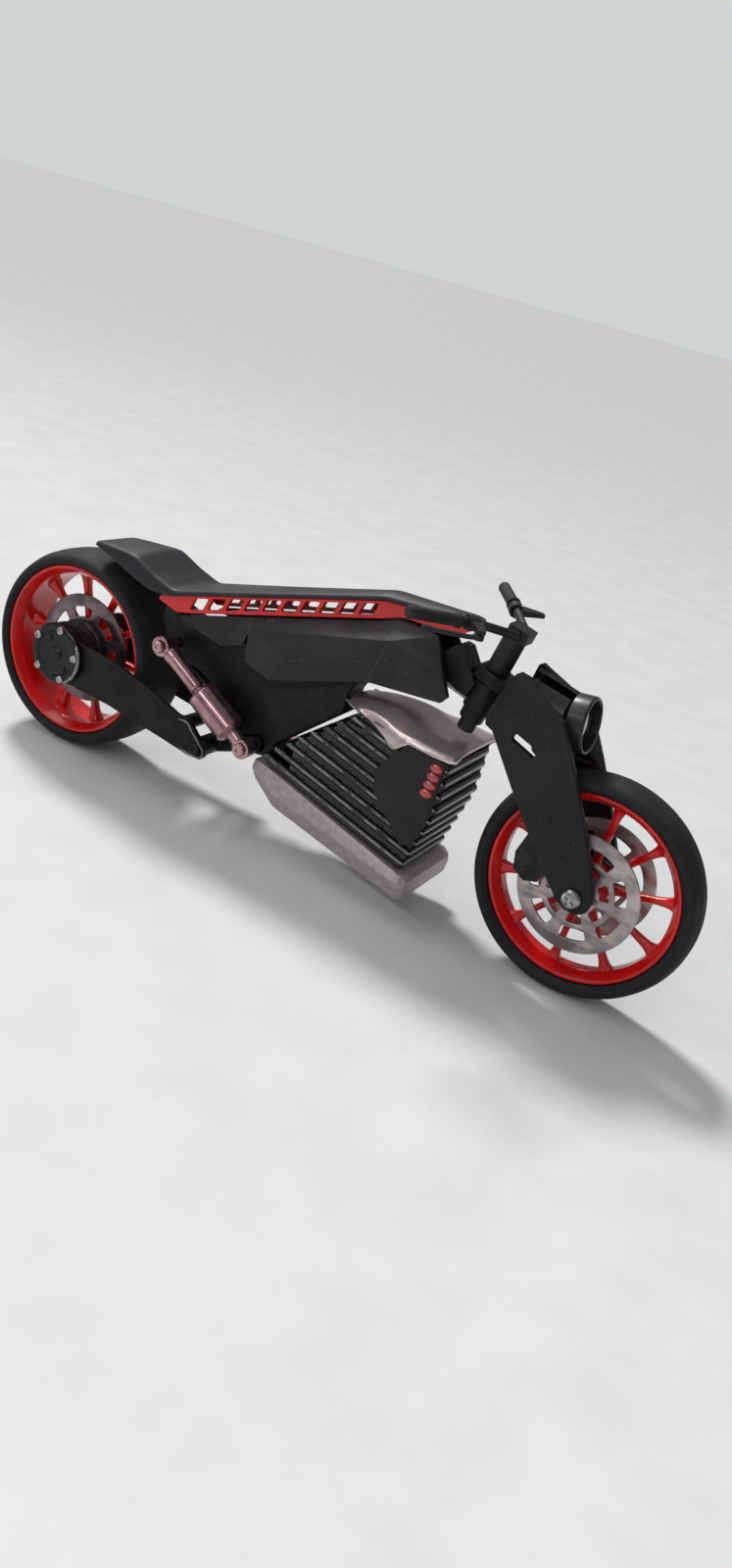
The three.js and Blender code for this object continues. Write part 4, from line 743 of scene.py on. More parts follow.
def stator(bm):
    m = axis_y(0, 0, 0)
    lathe(bm, fillet([(2.85, -8.4), (6.4, -8.4), (6.4, -17.0), (9.0, -18.4), (2.85, -18.4)], 0.3, 3), m, 60)
    for i in range(12):
        a = math.radians(30 * i)
        ca, sa = math.cos(a), math.sin(a)
        rings = []
        for r, w, h in ((6.2, 0.9, 3.6), (7.0, 1.4, 4.0), (9.8, 1.7, 4.2), (10.4, 1.0, 3.6), (11.0, 2.3, 3.6), (11.6, 2.4, 3.4)):
            rings.append([P(r * ca - u * w * sa, -12.8 + v * h, r * sa + u * w * ca) for u, v in fillet([(-1, -1), (1, -1), (1, 1), (-1, 1)], 0.3, 3)])
        loft(bm, rings)


piece("look_motor_stator", MAT["steel"], stator, 40, nodes=("motor_stator",))


# ------------------------------------------------------------------ hub cover over the motor, with cap screws and a sealing bead
def hub_cover(bm):
    m = axis_y(0, 0, 0)
    prof = [(0, -21.7), (13.2, -21.7), (13.9, -22.2), (13.9, -23.6), (13.1, -24.2), (10.6, -24.2), (9.9, -23.5), (5.0, -23.4), (0, -23.4)]
    lathe(bm, fillet(prof, 0.35, 4, False), m, 120, False)
    for cx, cz, r, y in ((0, 0, 3.2, -24.6), (-4.7, 6.4, 1.6, -24.4), (5.2, -5.6, 1.6, -24.4)):
        q = [(0, -23.0), (r + 0.25, -23.0), (r + 0.1, -23.7), (r * 0.72, y + 0.12), (0, y)]
        lathe(bm, fillet(q, 0.5, 5, False), axis_y(cx, 0, cz), 40, False)


def hub_bolts(bm):
    for i in range(5):
        a = math.radians(9 + 72 * i)
        x, z = 11.8 * math.cos(a), 11.8 * math.sin(a)
        q = [(0, -23.2), (1.75, -23.2), (1.75, -24.9), (1.5, -25.35), (0.95, -25.4), (0.85, -24.7), (0, -24.7)]
        lathe(bm, fillet(q, 0.2, 3, False), axis_y(x, 0, z), 28, False)


def hub_bead(bm):
    pts, rad = [], []
    for k in range(40):
        a = math.radians(-66 + 108 * k / 39)
        w = noise.noise(Vector((k * 0.37, 2.1, 0.4)))
        r = 13.35 + 0.25 * w
        pts.append((r * math.cos(a), -23.6 - 0.25 * w, r * math.sin(a)))
        e = min(k, 39 - k) / 39.0
        rad.append(0.18 + (0.62 + 0.28 * noise.noise(Vector((k * 0.8, 7.7, 1.4)))) * min(1.0, e * 9))
    pipe(bm, pts, rad, 12)


piece("look_motor_cover", MAT["cover"], hub_cover, 40, nodes=("motor_cover",))
piece("hub_cover_screws", MAT["zinc"], hub_bolts, 40, body=NODES["motor_cover"]["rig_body"])
piece("hub_cover_bead", MAT["glue"], hub_bead, 60, body=NODES["motor_cover"]["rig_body"])
refine("rear_axle", MAT["steel"], 0.3)
refine("front_axle_nut", MAT["zinc"], 0.3)


# ------------------------------------------------------------------ shocks
U, E = (53.0, 23.2), (103.0, -4.2)
LEN = math.hypot(E[0] - U[0], E[1] - U[1])
for side, sg in (("right", -1), ("left", 1)):
    y = sg * 16.6
    m = axis_to((U[0], y, U[1]), (E[0], y, E[1]))

    def rod(bm, m=m, y=y):
        lathe(bm, fillet([(1.9, -3.4), (4.5, -3.4), (4.5, 3.4), (1.9, 3.4)], 0.6, 4), axis_y(U[0], y, U[1]), 48)
        q = [(0, 3.4), (3.3, 3.4), (3.9, 4.6), (3.9, 7.4), (3.6, 8.0), (3.6, 23.4), (3.1, 24.4), (2.6, 24.4), (2.6, 44.0), (0, 44.0)]
        lathe(bm, fillet(q, 0.3, 3, False), m, 64, False)

    def cyl(bm, m=m, y=y):
        q = [(0, 48.5), (0, LEN - 8.2), (5.0, LEN - 8.2), (6.85, LEN - 9.9), (6.85, 27.6), (5.6, 26.0), (2.95, 26.0), (2.95, 48.5)]
        lathe(bm, fillet(q, [0.01, 0.01, 0.5, 0.7, 0.6, 0.5, 0.2, 0.01], 4), m, 96)
        q = [(0, LEN - 9.0), (3.3, LEN - 9.0), (3.1, LEN - 5.0), (3.3, LEN - 2.0), (0, LEN - 2.0)]
        lathe(bm, fillet(q, 0.3, 3, False), m, 40, False)
        lathe(bm, fillet([(1.9, -3.3), (4.3, -3.3), (4.3, 3.3), (1.9, 3.3)], 0.6, 4), axis_y(E[0], y, E[1]), 48)
    piece("look_shock_rod_" + side, MAT["shock"], rod, 40, nodes=("shock_rod_" + side,))
    piece("look_shock_cylinder_" + side, MAT["shock"], cyl, 40, nodes=("shock_cylinder_" + side,))


def pin(name, x, z, r, hex_head, half, h0, h1, mt):
    def b(bm):
        lathe(bm, fillet([(0, -half), (r, -half), (r, half), (0, half)], 0.2, 2, False), axis_y(x, 0, z), 32, False)
        for s in (-1, 1):
            n = 6 if hex_head else 40
            q = [(r * 0.6, s * h0), (2.8, s * h0), (2.8, s * (h1 - 0.4)), (2.35, s * h1), (1.0, s * h1), (0.9, s * (h1 - 0.5)), (0.0, s * (h1 - 0.5)), (0.0, s * h0)]
            lathe(bm, q, axis_y(x, 0, z), n, True)
    piece("look_" + name, mt, b, 30, nodes=(name,))


pin("shock_upper_pin", U[0], U[1], 1.5, True, 21.6, 20.4, 22.0, MAT["shock"])
pin("shock_lower_pin", E[0], E[1], 1.0, False, 21.4, 20.3, 21.8, MAT["shock"])
pin("swingarm_pivot_pin", 82.0, -12.5, 1.6, False, 22.0, 21.6, 23.0, MAT["body"])

# ------------------------------------------------------------------ swingarm and frame
PIVOT = (82.0, -12.5)
ARM = arc(13.2, 40, 290, 28) + [(31.6, -12.9), (61.4, -15.4), (78.4, -17.2), (85.2, -16.6), (87.0, -14.6), (87.0, -11.4), (75.6, -1.6), (69.4, -1.6), (51.5, 3.7), (31.6, 7.2)]


def swingarm(bm):
    rad = [0.0] * 29 + [3.0, 3.0, 2.0, 1.6, 1.4, 1.6, 1.4, 2.0, 3.0, 4.0]
    out = fillet(ARM, [0.05] * 29 + rad[29:], 3)
    for a, b in ((18.8, 21.3), (-21.3, -18.8)):
        plate(bm, out, a, b, FLAT, (circle(2.85, 40), circle(2.0, 32, 0, *PIVOT)), 0.4, 4)
    lathe(bm, fillet([(0, -19.2), (3.2, -19.2), (3.2, 19.2), (0, 19.2)], 0.2, 2, False), axis_y(67.5, 0, -8.6), 40, False)
    for s in (-1, 1):
        lathe(bm, fillet([(2.0, s * 7.6), (4.3, s * 7.6), (4.3, s * 19.2), (2.0, s * 19.2)], 0.3, 3), axis_y(PIVOT[0], 0, PIVOT[1]), 48)
    dx, dz = E[0] - PIVOT[0], E[1] - PIVOT[1]
    ln = math.hypot(dx, dz)
    nx, nz = -dz / ln, dx / ln
    arm = [(PIVOT[0] + nx * 4.0, PIVOT[1] + nz * 4.0), (PIVOT[0] - nx * 4.0, PIVOT[1] - nz * 4.0)] + [(E[0] + x, E[1] + z) for x, z in arc(3.2, -65, 115, 14)]
    for a, b in ((7.6, 9.5), (-9.5, -7.6)):
        plate(bm, arm, a, b, FLAT, (circle(1.3, 24, 0, *E), circle(2.0, 28, 0, *PIVOT)), 0.3, 3)


piece("look_swingarm", MAT["arm"], swingarm, 40, nodes=("swingarm",))


def arm_bead(bm):
    """Uneven bead of hardened adhesive round the pivot end of each swingarm plate."""
    path = [(70.5, -3.3), (75.2, -3.0), (80.5, -7.4), (85.6, -12.0), (86.2, -14.6), (84.0, -15.8), (78.6, -16.3), (73.0, -15.6)]
    for s in (-1, 1):
        st = spline(path, 6)
        pts, rad = [], []
        for k, (x, z) in enumerate(st):
            w = noise.noise(Vector((k * 0.61, 3.3 + s, 0.7)))
            pts.append((x + 0.2 * w, s * (21.35 + 0.05 * w), z + 0.25 * w))
            rad.append(0.1 + 0.3 * min(1.0, min(k, len(st) - 1 - k) / 4) * (0.7 + 0.9 * abs(noise.noise(Vector((k * 0.9, 1.1, s * 2.0))))))
        pipe(bm, pts, rad, 10)


piece("swingarm_bead", MAT["glue"], arm_bead, 60, body=NODES["swingarm"]["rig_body"])

SPINE_A = [(42.5, 38.0), (41.5, 31.0), (48.5, 20.0), (56.0, 17.5), (66.8, 15.2), (77.1, 10.8), (87.4, 5.6), (84.0, -6.0)] + \
    [(PIVOT[0] + x, PIVOT[1] + z) for x, z in arc(4.2, 140, 320, 14)] + [(92.0, -12.0), (104.0, -9.2), (111.4, -7.8), (111.4, -1.2), (125.6, 12.4), (139.2, 25.2), (139.2, 34.0)]
SPINE_M = [(143.0, 44.0), (147.0, 54.5)]
SPINE_B = [(160.0, 57.0), (169.6, 55.2), (172.0, 57.6), (171.0, 62.0), (166.0, 66.5)]
SPINE_C = [(148.0, 63.5), (120.0, 54.5), (90.0, 44.6), (75.0, 40.0), (55.0, 35.0)]


def spine(bm):
    holes = (circle(1.9, 24, 0, *PIVOT), circle(1.85, 24, 0, *U), circle(3.5, 32, 0, *E))

    def soft(pts):
        return fillet(pts, 1.3, 3)
    full = SPINE_A + SPINE_M + SPINE_B + SPINE_C
    notch = SPINE_A + [(141.0, 38.7), (141.0, 58.0), (157.0, 58.0), (157.0, 56.5)] + SPINE_B + SPINE_C
    plate(bm, soft(full), 4.6, 7.0, FLAT, holes, 0.6, 4, bev_lo=0)
    plate(bm, soft(notch), -7.0, -4.6, FLAT, holes, 0.6, 4, bev_hi=0)
    plate(bm, soft(SPINE_A + [(142.9, 43.8), (143.0, 61.8)] + SPINE_C[1:]), -4.6, 4.6, FLAT, holes, 0.0, 1, bev_lo=0, bev_hi=0)
    plate(bm, soft([(166.6, 55.8), (169.6, 55.2), (172.0, 57.6), (171.0, 62.0), (166.7, 66.0)]), -4.6, 4.6, FLAT, (), 0.0, 1, bev_lo=0, bev_hi=0)


piece("look_frame_spine", MAT["body"], spine, 40, nodes=("frame_spine",))

# ------------------------------------------------------------------ battery case, cover, plates, pan
CASE = [(112.6, -6.0), (112.2, -2.4), (126.3, 11.2), (150.6, 32.3), (195.6, 32.3), (195.6, 8.0), (192.2, -5.0), (187.6, -21.9)]
LEAN = 0.205


def case_half(x):
    return 16.6 + (x - 112) * 3.6 / 83.6


def case_span(h):
    """Rear and front x of the case side where z + LEAN x = h."""
    xs = []
    for (ax, az), (bx, bz) in zip(CASE, CASE[1:] + CASE[:1]):
        ha, hb = az + LEAN * ax, bz + LEAN * bx
        if (ha - h) * (hb - h) < 0 or ha == h:
            xs.append(ax + (bx - ax) * (h - ha) / (hb - ha) if hb != ha else ax)
    return min(xs), max(xs)


def case_loop(h, d):
    xr, xf = case_span(h)
    xr, xf = xr + d, xf - d
    hr, hf = case_half(xr) - d, case_half(xf) - d
    lp = fillet([(xr, -hr), (xf, -hf), (xf, hf), (xr, hr)], [max(0.3, 2.6 - d), max(0.3, 2.0 - d), max(0.3, 2.0 - d), max(0.3, 2.6 - d)], 6)
    return [P(x, y, h - LEAN * x) for x, y in lp]


COVER = [
    (141.4, 11.2, 34.6, 33.5, 2.0), (143.5, 12.6, 35.2, 33.1, 2.0), (148.0, 14.2, 36.4, 32.5, 2.0), (153.0, 15.6, 37.4, 31.8, 2.0),
    (159.0, 17.4, 38.1, 30.6, 2.0), (165.0, 19.6, 38.2, 29.0, 2.0), (169.5, 21.2, 37.8, 27.4, 2.1), (172.3, 21.8, 37.3, 28.2, 2.4),
    (176.5, 22.0, 36.4, 31.4, 3.2), (183.0, 22.0, 35.4, 31.5, 4.2), (190.0, 22.0, 35.0, 31.6, 5.0), (195.0, 21.7, 34.9, 31.8, 5.0), (197.6, 21.0, 34.5, 32.4, 5.0)]


def cover_room(bm):
    """Everything above the underside of the top cover."""
    rings = []
    for x, h, zr, ze, p in COVER:
        low = []
        for i in range(17):
            t = math.sin((i / 16 - 0.5) * math.pi)
            low.append((t * (h - 1.6), ze + (zr - 1.6 - ze) * (1 - abs(t) ** p) - 0.45))
        rings.append([(x, a, b) for a, b in [(-32, ze - 3.4), (-h - 0.3, ze - 0.35)] + low + [(h + 0.3, ze - 0.35), (32, ze - 3.4), (32, 60), (-32, 60)]])
    rings.append([(x + 10, y, z) for x, y, z in rings[-1]])
    loft(bm, [[P(*p) for p in r] for r in rings])


def mesh_minus(bm, build):
    """Exact difference of two closed meshes; returns a new bmesh."""
    me = bpy.data.meshes.new("tmp_a")
    bmesh.ops.recalc_face_normals(bm, faces=bm.faces)
    bm.to_mesh(me)
    bm.free()
    a = bpy.data.objects.new("tmp_a", me)
    b2 = bmesh.new()
    build(b2)
    bmesh.ops.recalc_face_normals(b2, faces=b2.faces)
    mb = bpy.data.meshes.new("tmp_b")
    b2.to_mesh(mb)
    b2.free()
    b = bpy.data.objects.new("tmp_b", mb)
    for o in (a, b):
        bpy.context.collection.objects.link(o)
    md = a.modifiers.new("cut", "BOOLEAN")
    md.operation, md.object, md.solver = "DIFFERENCE", b, "EXACT"
    bpy.context.view_layer.update()
    out = bmesh.new()
    ev = a.evaluated_get(bpy.context.evaluated_depsgraph_get())
    out.from_mesh(ev.to_mesh())
    ev.to_mesh_clear()
    for o, m_ in ((a, me), (b, mb)):
        bpy.data.objects.remove(o, do_unlink=True)
        bpy.data.meshes.remove(m_)
    return out


def case_ribs():
    bm = bmesh.new()
    r = 1.5
    top = 195.6 * LEAN + 27.6
    bands = [(top - 5.75 * k + 2.5, top - 5.75 * (k - 1)) for k in range(1, 9)]
    bands.insert(0, (top + 2.5, 72.2))
    bands.append((17.2, top - 5.75 * 8))
    for h0, h1 in bands:
        rr = min(r, (h1 - h0) * 0.45)
        rows = [(2.6, h0)]
        for k in range(6):
            a = k / 5 * math.pi / 2
            rows.append((rr * (1 - math.sin(a)), h0 + rr * (1 - math.cos(a))))
        for k in range(5, -1, -1):
            a = k / 5 * math.pi / 2
            rows.append((rr * (1 - math.sin(a)), h1 - rr * (1 - math.cos(a))))
        rows.append((2.6, h1))
        loops = [[bm.verts.new(p) for p in case_loop(h, d)] for d, h in rows]
        n = len(loops[0])
        for a, b in zip(loops, loops[1:] + loops[:1]):
            for k in range(n):
                q = (k + 1) % n
                bm.faces.new((a[k], a[q], b[q], b[k]))
    bm = mesh_minus(bm, cover_room)
    # the walls behind the ribs
    wall = [(114.4, -6.4), (114.4, -2.6), (127.3, 9.4), (147.4, 26.4), (175.5, 26.4), (178.0, 30.4), (193.6, 30.4), (193.6, 8.3), (190.3, -4.4), (186.0, -21.5)]
    mid = wall + [(182.1, -20.7), (184.6, -6.0), (188.2, 7.0), (188.2, 24.0), (151.5, 24.0), (128.0, 6.0), (128.0, -9.3)]
    f = lambda v: Vector((v.x, v.y, v.z))

    def taper(sg):
        def g(v):
            if abs(v.z) > 15.5:
                v.z = sg * (case_half(v.x) - 1.9)
            return v
        return g
    plate(bm, wall, 15.3, 18.0, FLAT, (), 0, 1, taper(1), 0, 0)
    plate(bm, wall, -18.0, -15.3, FLAT, (), 0, 1, taper(-1), 0, 0)
    plate(bm, mid, -15.3, 15.3, FLAT, (), 0, 1, None, 0, 0)
    return finish_mesh(bm, "look_battery_case", MAT["case"], 40, None, ("battery_case",))


case_ribs()
refine("battery_pack", MAT["battery"], 0.9, 3)
refine("receiver_and_speed_control", MAT["board"], 0.2, 2)
PLATE = [(176.6, 30.6), (171.6, 23.8), (166.0, 15.0), (167.6, 6.6), (175.6, -1.4), (185.6, -10.2), (189.4, -8.6), (191.8, -2.0), (193.6, 7.4), (194.2, 21.6), (194.4, 29.6)]
for side, a0, a1 in (("right", 18.3, 21.2), ("left", -21.2, -18.3)):
    piece("look_side_plate_" + side, MAT["side_plate"], lambda bm, a0=a0, a1=a1: plate(bm, fillet(PLATE, 1.6, 5), a0, a1, FLAT, (), 0.75, 5), 50, nodes=("side_plate_" + side,))

def top_cover(bm):
    """Hood with a flat crown, slanting flanks and a short upright skirt that hangs lowest a third of the way back."""
    rings = []
    st = spline(COVER, 6)
    n = 48
    m_ = len(st)
    for j, (x, h, zr, ze, p) in enumerate(st):
        e = min(1.0, (j + 0.3) / 3.5, (m_ - 0.7 - j) / 3.5)
        drop = 0.9 * (1 - e) ** 2
        f = min(1.0, max(0.0, (x - 168.0) / 14.0))
        f = f * f * (3 - 2 * f)
        slope = 0.5 * (1 - f) + 0.2 * f
        y0 = 0.5 * h * (1 - f) + 12.0 * f

        def surf(y):
            q = abs(y) - y0
            return zr - slope * 0.5 * (q + math.sqrt(q * q + 2.2)) + slope * 0.25 * 0
        top, low = [], []
        for k in range(n + 1):
            t = math.sin((k / n - 0.5) * math.pi)
            y = t * h
            z = surf(y)
            q = max(0.0, (abs(y) - (h - 2.4)) / 2.4)
            z = z + (ze + 0.4 - z) * q ** 3
            top.append(P(x, y, z - drop))
            low.append(P(x, t * (h - 1.5), min(z - 1.5, ze + (zr - ze) * (1 - abs(t) ** p) - 1.5) - drop * 0.2))
        rings.append(top + [P(x, h - 0.25, ze - drop * 0.5)] + [P(x, h - 1.1, ze - drop * 0.5)] + low[::-1] + [P(x, -h + 1.1, ze - drop * 0.5), P(x, -h + 0.25, ze - drop * 0.5)])
    loft(bm, rings)


piece("look_case_top_cover", MAT["lid"], top_cover, 50, nodes=("case_top_cover",))


def indicator(side, sg):
    def b(bm):
        for i in range(4):
            cx, cz = 190.3 - 0.46 * i, 26.5 - 3.72 * i
            rings = []
            for j in range(12):
                a = (j - 1) / 10 * math.pi / 2
                f = math.cos(max(a, 0.0)) if j < 11 else 0.03
                yy = 20.3 if j == 0 else 21.2 + 1.5 * math.sin(a)
                rings.append([P(cx + 0.9 + (2.75 * math.cos(t * math.pi / 20)) * f, sg * yy, cz + (1.95 * math.sin(t * math.pi / 20)) * f) for t in range(40)])
            loft(bm, rings)
    piece("look_indicator_" + side, MAT["indicator"], b, 60, nodes=("indicator_" + side,))


indicator("right", -1)
indicator("left", 1)


def belly_pan(bm):
    """Stations: x, top z, widest z, bottom z, half widths at those heights."""
    st = [(108.2, -7.2, -11.0, -14.9, 14.4, 15.9, 13.6), (123.5, -8.7, -15.8, -22.4, 17.6, 20.2, 18.0), (189.2, -22.7, -26.0, -33.6, 20.6, 22.6, 20.6), (192.4, -24.4, -27.5, -33.0, 19.4, 21.0, 19.4)]
    dense = []
    for a, b in zip(st, st[1:]):
        for k in range(8):
            dense.append([a[i] + (b[i] - a[i]) * k / 8 for i in range(7)])
    dense.append(list(st[-1]))
    m_ = len(dense)
    rings = []
    for j, (x, zt, zc, zb, h0, h1, h2) in enumerate(dense):
        e = min(1.0, (j + 0.25) / 1.2, (m_ - 0.75 - j) / 2.6)
        s_ = 0.9 * (1 - e) ** 2
        poly = [(-(h0 - s_), zt - s_ * 0.6), (-(h1 - s_), zc), (-(h2 - s_), zb + s_), (h2 - s_, zb + s_), (h1 - s_, zc), (h0 - s_, zt - s_ * 0.6)]
        rings.append([P(x, a, b) for a, b in fillet(poly, [0.5, 1.0, 0.9, 0.9, 1.0, 0.5], 4)])
    loft(bm, rings)


piece("look_belly_pan", MAT["pan"], belly_pan, 32, nodes=("belly_pan",))

# ------------------------------------------------------------------ seat
SEAT = [(3.4, 53.2, 12.7, 1.7, 0.0), (14.0, 54.3, 14.4, 4.4, 0.5), (28.5, 55.4, 16.6, 8.6, 0.9), (40.0, 50.9, 16.9, 7.0, 0.6), (52.0, 47.8, 16.9, 2.6, 0.3),
        (62.0, 51.1, 15.9, 1.9, 0.6), (90.0, 63.8, 12.2, 1.9, 0.9), (120.0, 77.3 - 10.2, 10.0, 1.9, 1.1), (144.8, 78.3, 7.9, 1.9, 1.2), (165.0, 80.0, 6.6, 1.9, 1.1), (183.0, 81.6, 5.4, 1.9, 0.8)]


def seat_at(x):
    """Linear stations of the solid seat, softened a little at the knees."""
    s = [(3.4, 53.2, 12.7, 1.7, 0.0), (14.0, 54.3, 14.4, 4.4, 0.5), (28.5, 55.4, 16.6, 8.6, 0.9), (40.0, 50.9, 16.9, 7.0, 0.6), (52.0, 47.8, 16.9, 2.6, 0.3),
         (62.0, 51.1, 15.9, 1.9, 0.6), (144.8, 78.3, 7.9, 1.9, 1.2), (183.0, 81.6, 5.4, 1.9, 0.8)]

    def lin(x):
        x = min(max(x, s[0][0]), s[-1][0])
        for a, b in zip(s, s[1:]):
            if x <= b[0]:
                t = (x - a[0]) / (b[0] - a[0])
                return [a[i] + (b[i] - a[i]) * t for i in range(1, 5)]
        return list(s[-1][1:])
    acc = [0.0] * 4
    tot = 0.0
    for k in range(-6, 7):
        w = math.exp(-(k / 3.0) ** 2)
        v = lin(x + k * 0.8)
        acc = [a + w * b for a, b in zip(acc, v)]
        tot += w
    return [a / tot for a in acc]


def seat(bm):
    rings = []
    n = 110
    for j in range(n + 1):
        x = 3.4 + (183.0 - 3.4) * j / n
        z, h, d, c = seat_at(x)
        e = min(1.0, (j + 0.35) / 2.2, (n - j + 0.35) / 2.2)
        h2 = h - 0.9 * (1 - e) ** 2
        zt = z - 0.5 * (1 - e) ** 2
        o = 0.07 * d
        T = 1.4
        outer = []
        for k in range(25):
            t = -1 + 2 * k / 24
            outer.append((t * (h2 - 1.5), zt + c * (1 - abs(t) ** 2.2)))
        pts = [(-(h2 + o), zt - d)] + [(-(h2 + o * 0.2), zt - 1.1), (-(h2 - 0.45), zt - 0.28)] + outer + [(h2 - 0.45, zt - 0.28), (h2 + o * 0.2, zt - 1.1), (h2 + o, zt - d)]
        inner = [(h2 + o - T, zt - d), (h2 - T, zt - T - 0.2)] + [(y * 0.9, q - T) for y, q in outer[::-1][2:-2]] + [(-(h2 - T), zt - T - 0.2), (-(h2 + o - T), zt - d)]
        rings.append([P(x, a, b) for a, b in pts + inner])
    loft(bm, rings)


piece("look_seat_cover", MAT["seat"], seat, 50, nodes=("seat_cover",))

# ------------------------------------------------------------------ rails and side panels
RAIL = [(45.2, 43.4), (44.6, 41.4), (54.7, 38.8), (61.8, 40.8), (90.3, 50.3), (144.1, 68.2), (153.5, 72.0), (176.6, 73.2), (181.6, 76.6), (182.0, 79.4), (144.8, 76.1), (61.9, 48.9), (52.0, 45.6)]


def rail(side, sg):
    lo = lambda x: (40.8 + (x - 61.8) * 9.5 / 28.5 if x < 90.3 else 50.3 + (x - 90.3) * 17.9 / 53.8) + 1.7
    hi = lambda x: 48.9 + (x - 61.9) * 27.2 / 82.9 - 1.4
    holes = []
    for i in range(10):
        a = 60.4 + i * 8.3
        b, ln = a + 6.0, 1.9
        holes.append(fillet([(a, lo(a)), (b, lo(b)), (b + ln, hi(b + ln)), (a + ln, hi(a + ln))], 0.6, 3))

    def b(bm):
        def shear(v):
            v.z -= sg * (15.0 - 0.0875 * (v.x - 43))
            return v
        out = fillet(RAIL, 0.8, 3)
        plate(bm, out, -1.0, 1.0, FLAT, holes, 0.38, 4, shear)
    piece("look_trellis_rail_" + side, MAT["red"], b, 40, nodes=("trellis_rail_" + side,))


rail("right", -1)
rail("left", 1)


def rail_y(x):
    return 16.0 - 0.0875 * (x - 43)


PANEL = [
    [(56.6, None, 37.6), (58, None, 38.7), (61.8, None, 39.9), (90.3, None, 49.5), (58.4, 15.3, 36.8), (80.7, 16.4, 33.9), (90.8, 16.2, 38.0), (92.6, 15.9, 45.4),
     (56.6, 12.2, 37.6), (61.8, 11.8, 39.9), (90.3, 11.3, 49.5), (58.4, 12.0, 36.8), (80.7, 12.0, 34.4), (90.8, 11.3, 38.0)],
    [(89.6, None, 49.2), (144.2, None, 67.4), (92.2, 15.9, 45.4), (154.8, 15.6, 64.2), (93.2, 15.6, 31.6), (106.2, 15.2, 28.2), (150.0, 15.0, 45.0),
     (89.6, 9.8, 49.2), (138.0, 7.8, 65.2), (138.0, 11.4, 62.0), (154.8, 11.4, 64.2), (95.8, 9.4, 24.4), (108.0, 9.4, 23.6), (150.0, 11.4, 44.0)],
    [(144.2, None, 67.4), (153.2, None, 71.2), (171.0, 8.2, 71.6), (173.6, 9.0, 66.0), (154.8, 15.6, 64.2), (175.0, 13.6, 60.4), (150.0, 15.0, 45.0), (164.8, 15.0, 51.0),
     (181.6, 13.6, 48.6), (183.8, 13.4, 51.7), (181.0, 13.6, 56.0), (150.0, 11.4, 44.0), (165.0, 11.4, 50.0), (181.6, 11.4, 48.6), (183.8, 11.4, 51.7), (175, 11.4, 60.4),
     (153.2, 7.6, 70.6), (171.0, 7.6, 71.0), (150.0, 11.3, 62.0)]]


def panel(side, sg):
    out = bmesh.new()
    for pts in PANEL:
        bm = bmesh.new()
        for x, y, z in pts:
            bm.verts.new(P(x, sg * (rail_y(x) if y is None else y), z))
        res = bmesh.ops.convex_hull(bm, input=bm.verts[:], use_existing_faces=False)
        dead = [g for g in res["geom_interior"] + res["geom_unused"] if isinstance(g, bmesh.types.BMVert)]
        bmesh.ops.delete(bm, geom=list(set(dead)), context="VERTS")
        bmesh.ops.dissolve_limit(bm, angle_limit=math.radians(4.0), verts=bm.verts[:], edges=bm.edges[:], use_dissolve_boundaries=False)
        bmesh.ops.recalc_face_normals(bm, faces=bm.faces)
        bm, used, clamp = bevelled(bm, 0.36, 3, 14)
        print("panel", side, round(used, 2))
        me = bpy.data.meshes.new("tmp")
        bm.to_mesh(me)
        bm.free()
        out.from_mesh(me)
        bpy.data.meshes.remove(me)
    o = finish_mesh(out, "look_side_panel_" + side, MAT["panel"], 30, None, ("side_panel_" + side,))
    w = o.modifiers.new("even_normals", "WEIGHTED_NORMAL")
    w.keep_sharp = True


panel("right", -1)
panel("left", 1)

# ------------------------------------------------------------------ steering head
refine("head_bracket", MAT["body"], 0.5, 3)
refine("fork_crown", MAT["body"], 0.4, 2)
refine("stem_lock_collar", MAT["body"], 0.3, 2)
refine("steering_servo", MAT["servo"], 0.4, 2)
refine("servo_horn", MAT["nylon"], 0.2, 2)
refine("drag_link", MAT["steel"], 0.2, 2)
refine("steering_stem", MAT["head"], 0.5, 3)

# ------------------------------------------------------------------ handlebar
cx, cz = 199.87, 81.86


def bar(bm):
    half = lambda s: [(172.6, s * 41.6, 85.9), (178.6, s * 33.2, 85.45), (185.4, s * 23.9, 84.9), (189.2, s * 18.3, 84.45), (cx - 1.3, s * 6.2, cz + 0.35), (cx, s * 4.6, cz)]
    pts = half(-1) + [(cx + 0.1, 0, cz)] + half(1)[::-1]
    pipe(bm, spline(pts, 8), 1.7, 24)


piece("look_handlebar", MAT["head"], bar, 60, nodes=("handlebar",))
for side, sg in (("right", -1), ("left", 1)):
    g0, g1 = (185.4, sg * 23.9, 84.9), (172.6, sg * 41.6, 85.9)
    L = (Vector(g1) - Vector(g0)).length

    def grip(bm, g0=g0, g1=g1, L=L):
        q = [(2.02, 1.6), (2.9, 1.6), (2.95, 2.6), (2.45, 3.3)]
        h = 4.2
        while h < L - 1.2:
            q += [(2.45, h), (2.36, h + 0.25), (2.36, h + 0.55), (2.45, h + 0.8)]
            h += 1.5
        q += [(2.45, L + 0.9), (2.0, L + 1.7), (0, L + 1.7), (0, L + 0.35), (2.02, L + 0.35)]
        lathe(bm, q, axis_to(g0, g1), 40)
    piece("look_grip_" + side, MAT["grip"], grip, 50, nodes=("grip_" + side,))
    refine("lever_perch_" + side, MAT["head"], 0.45, 3)


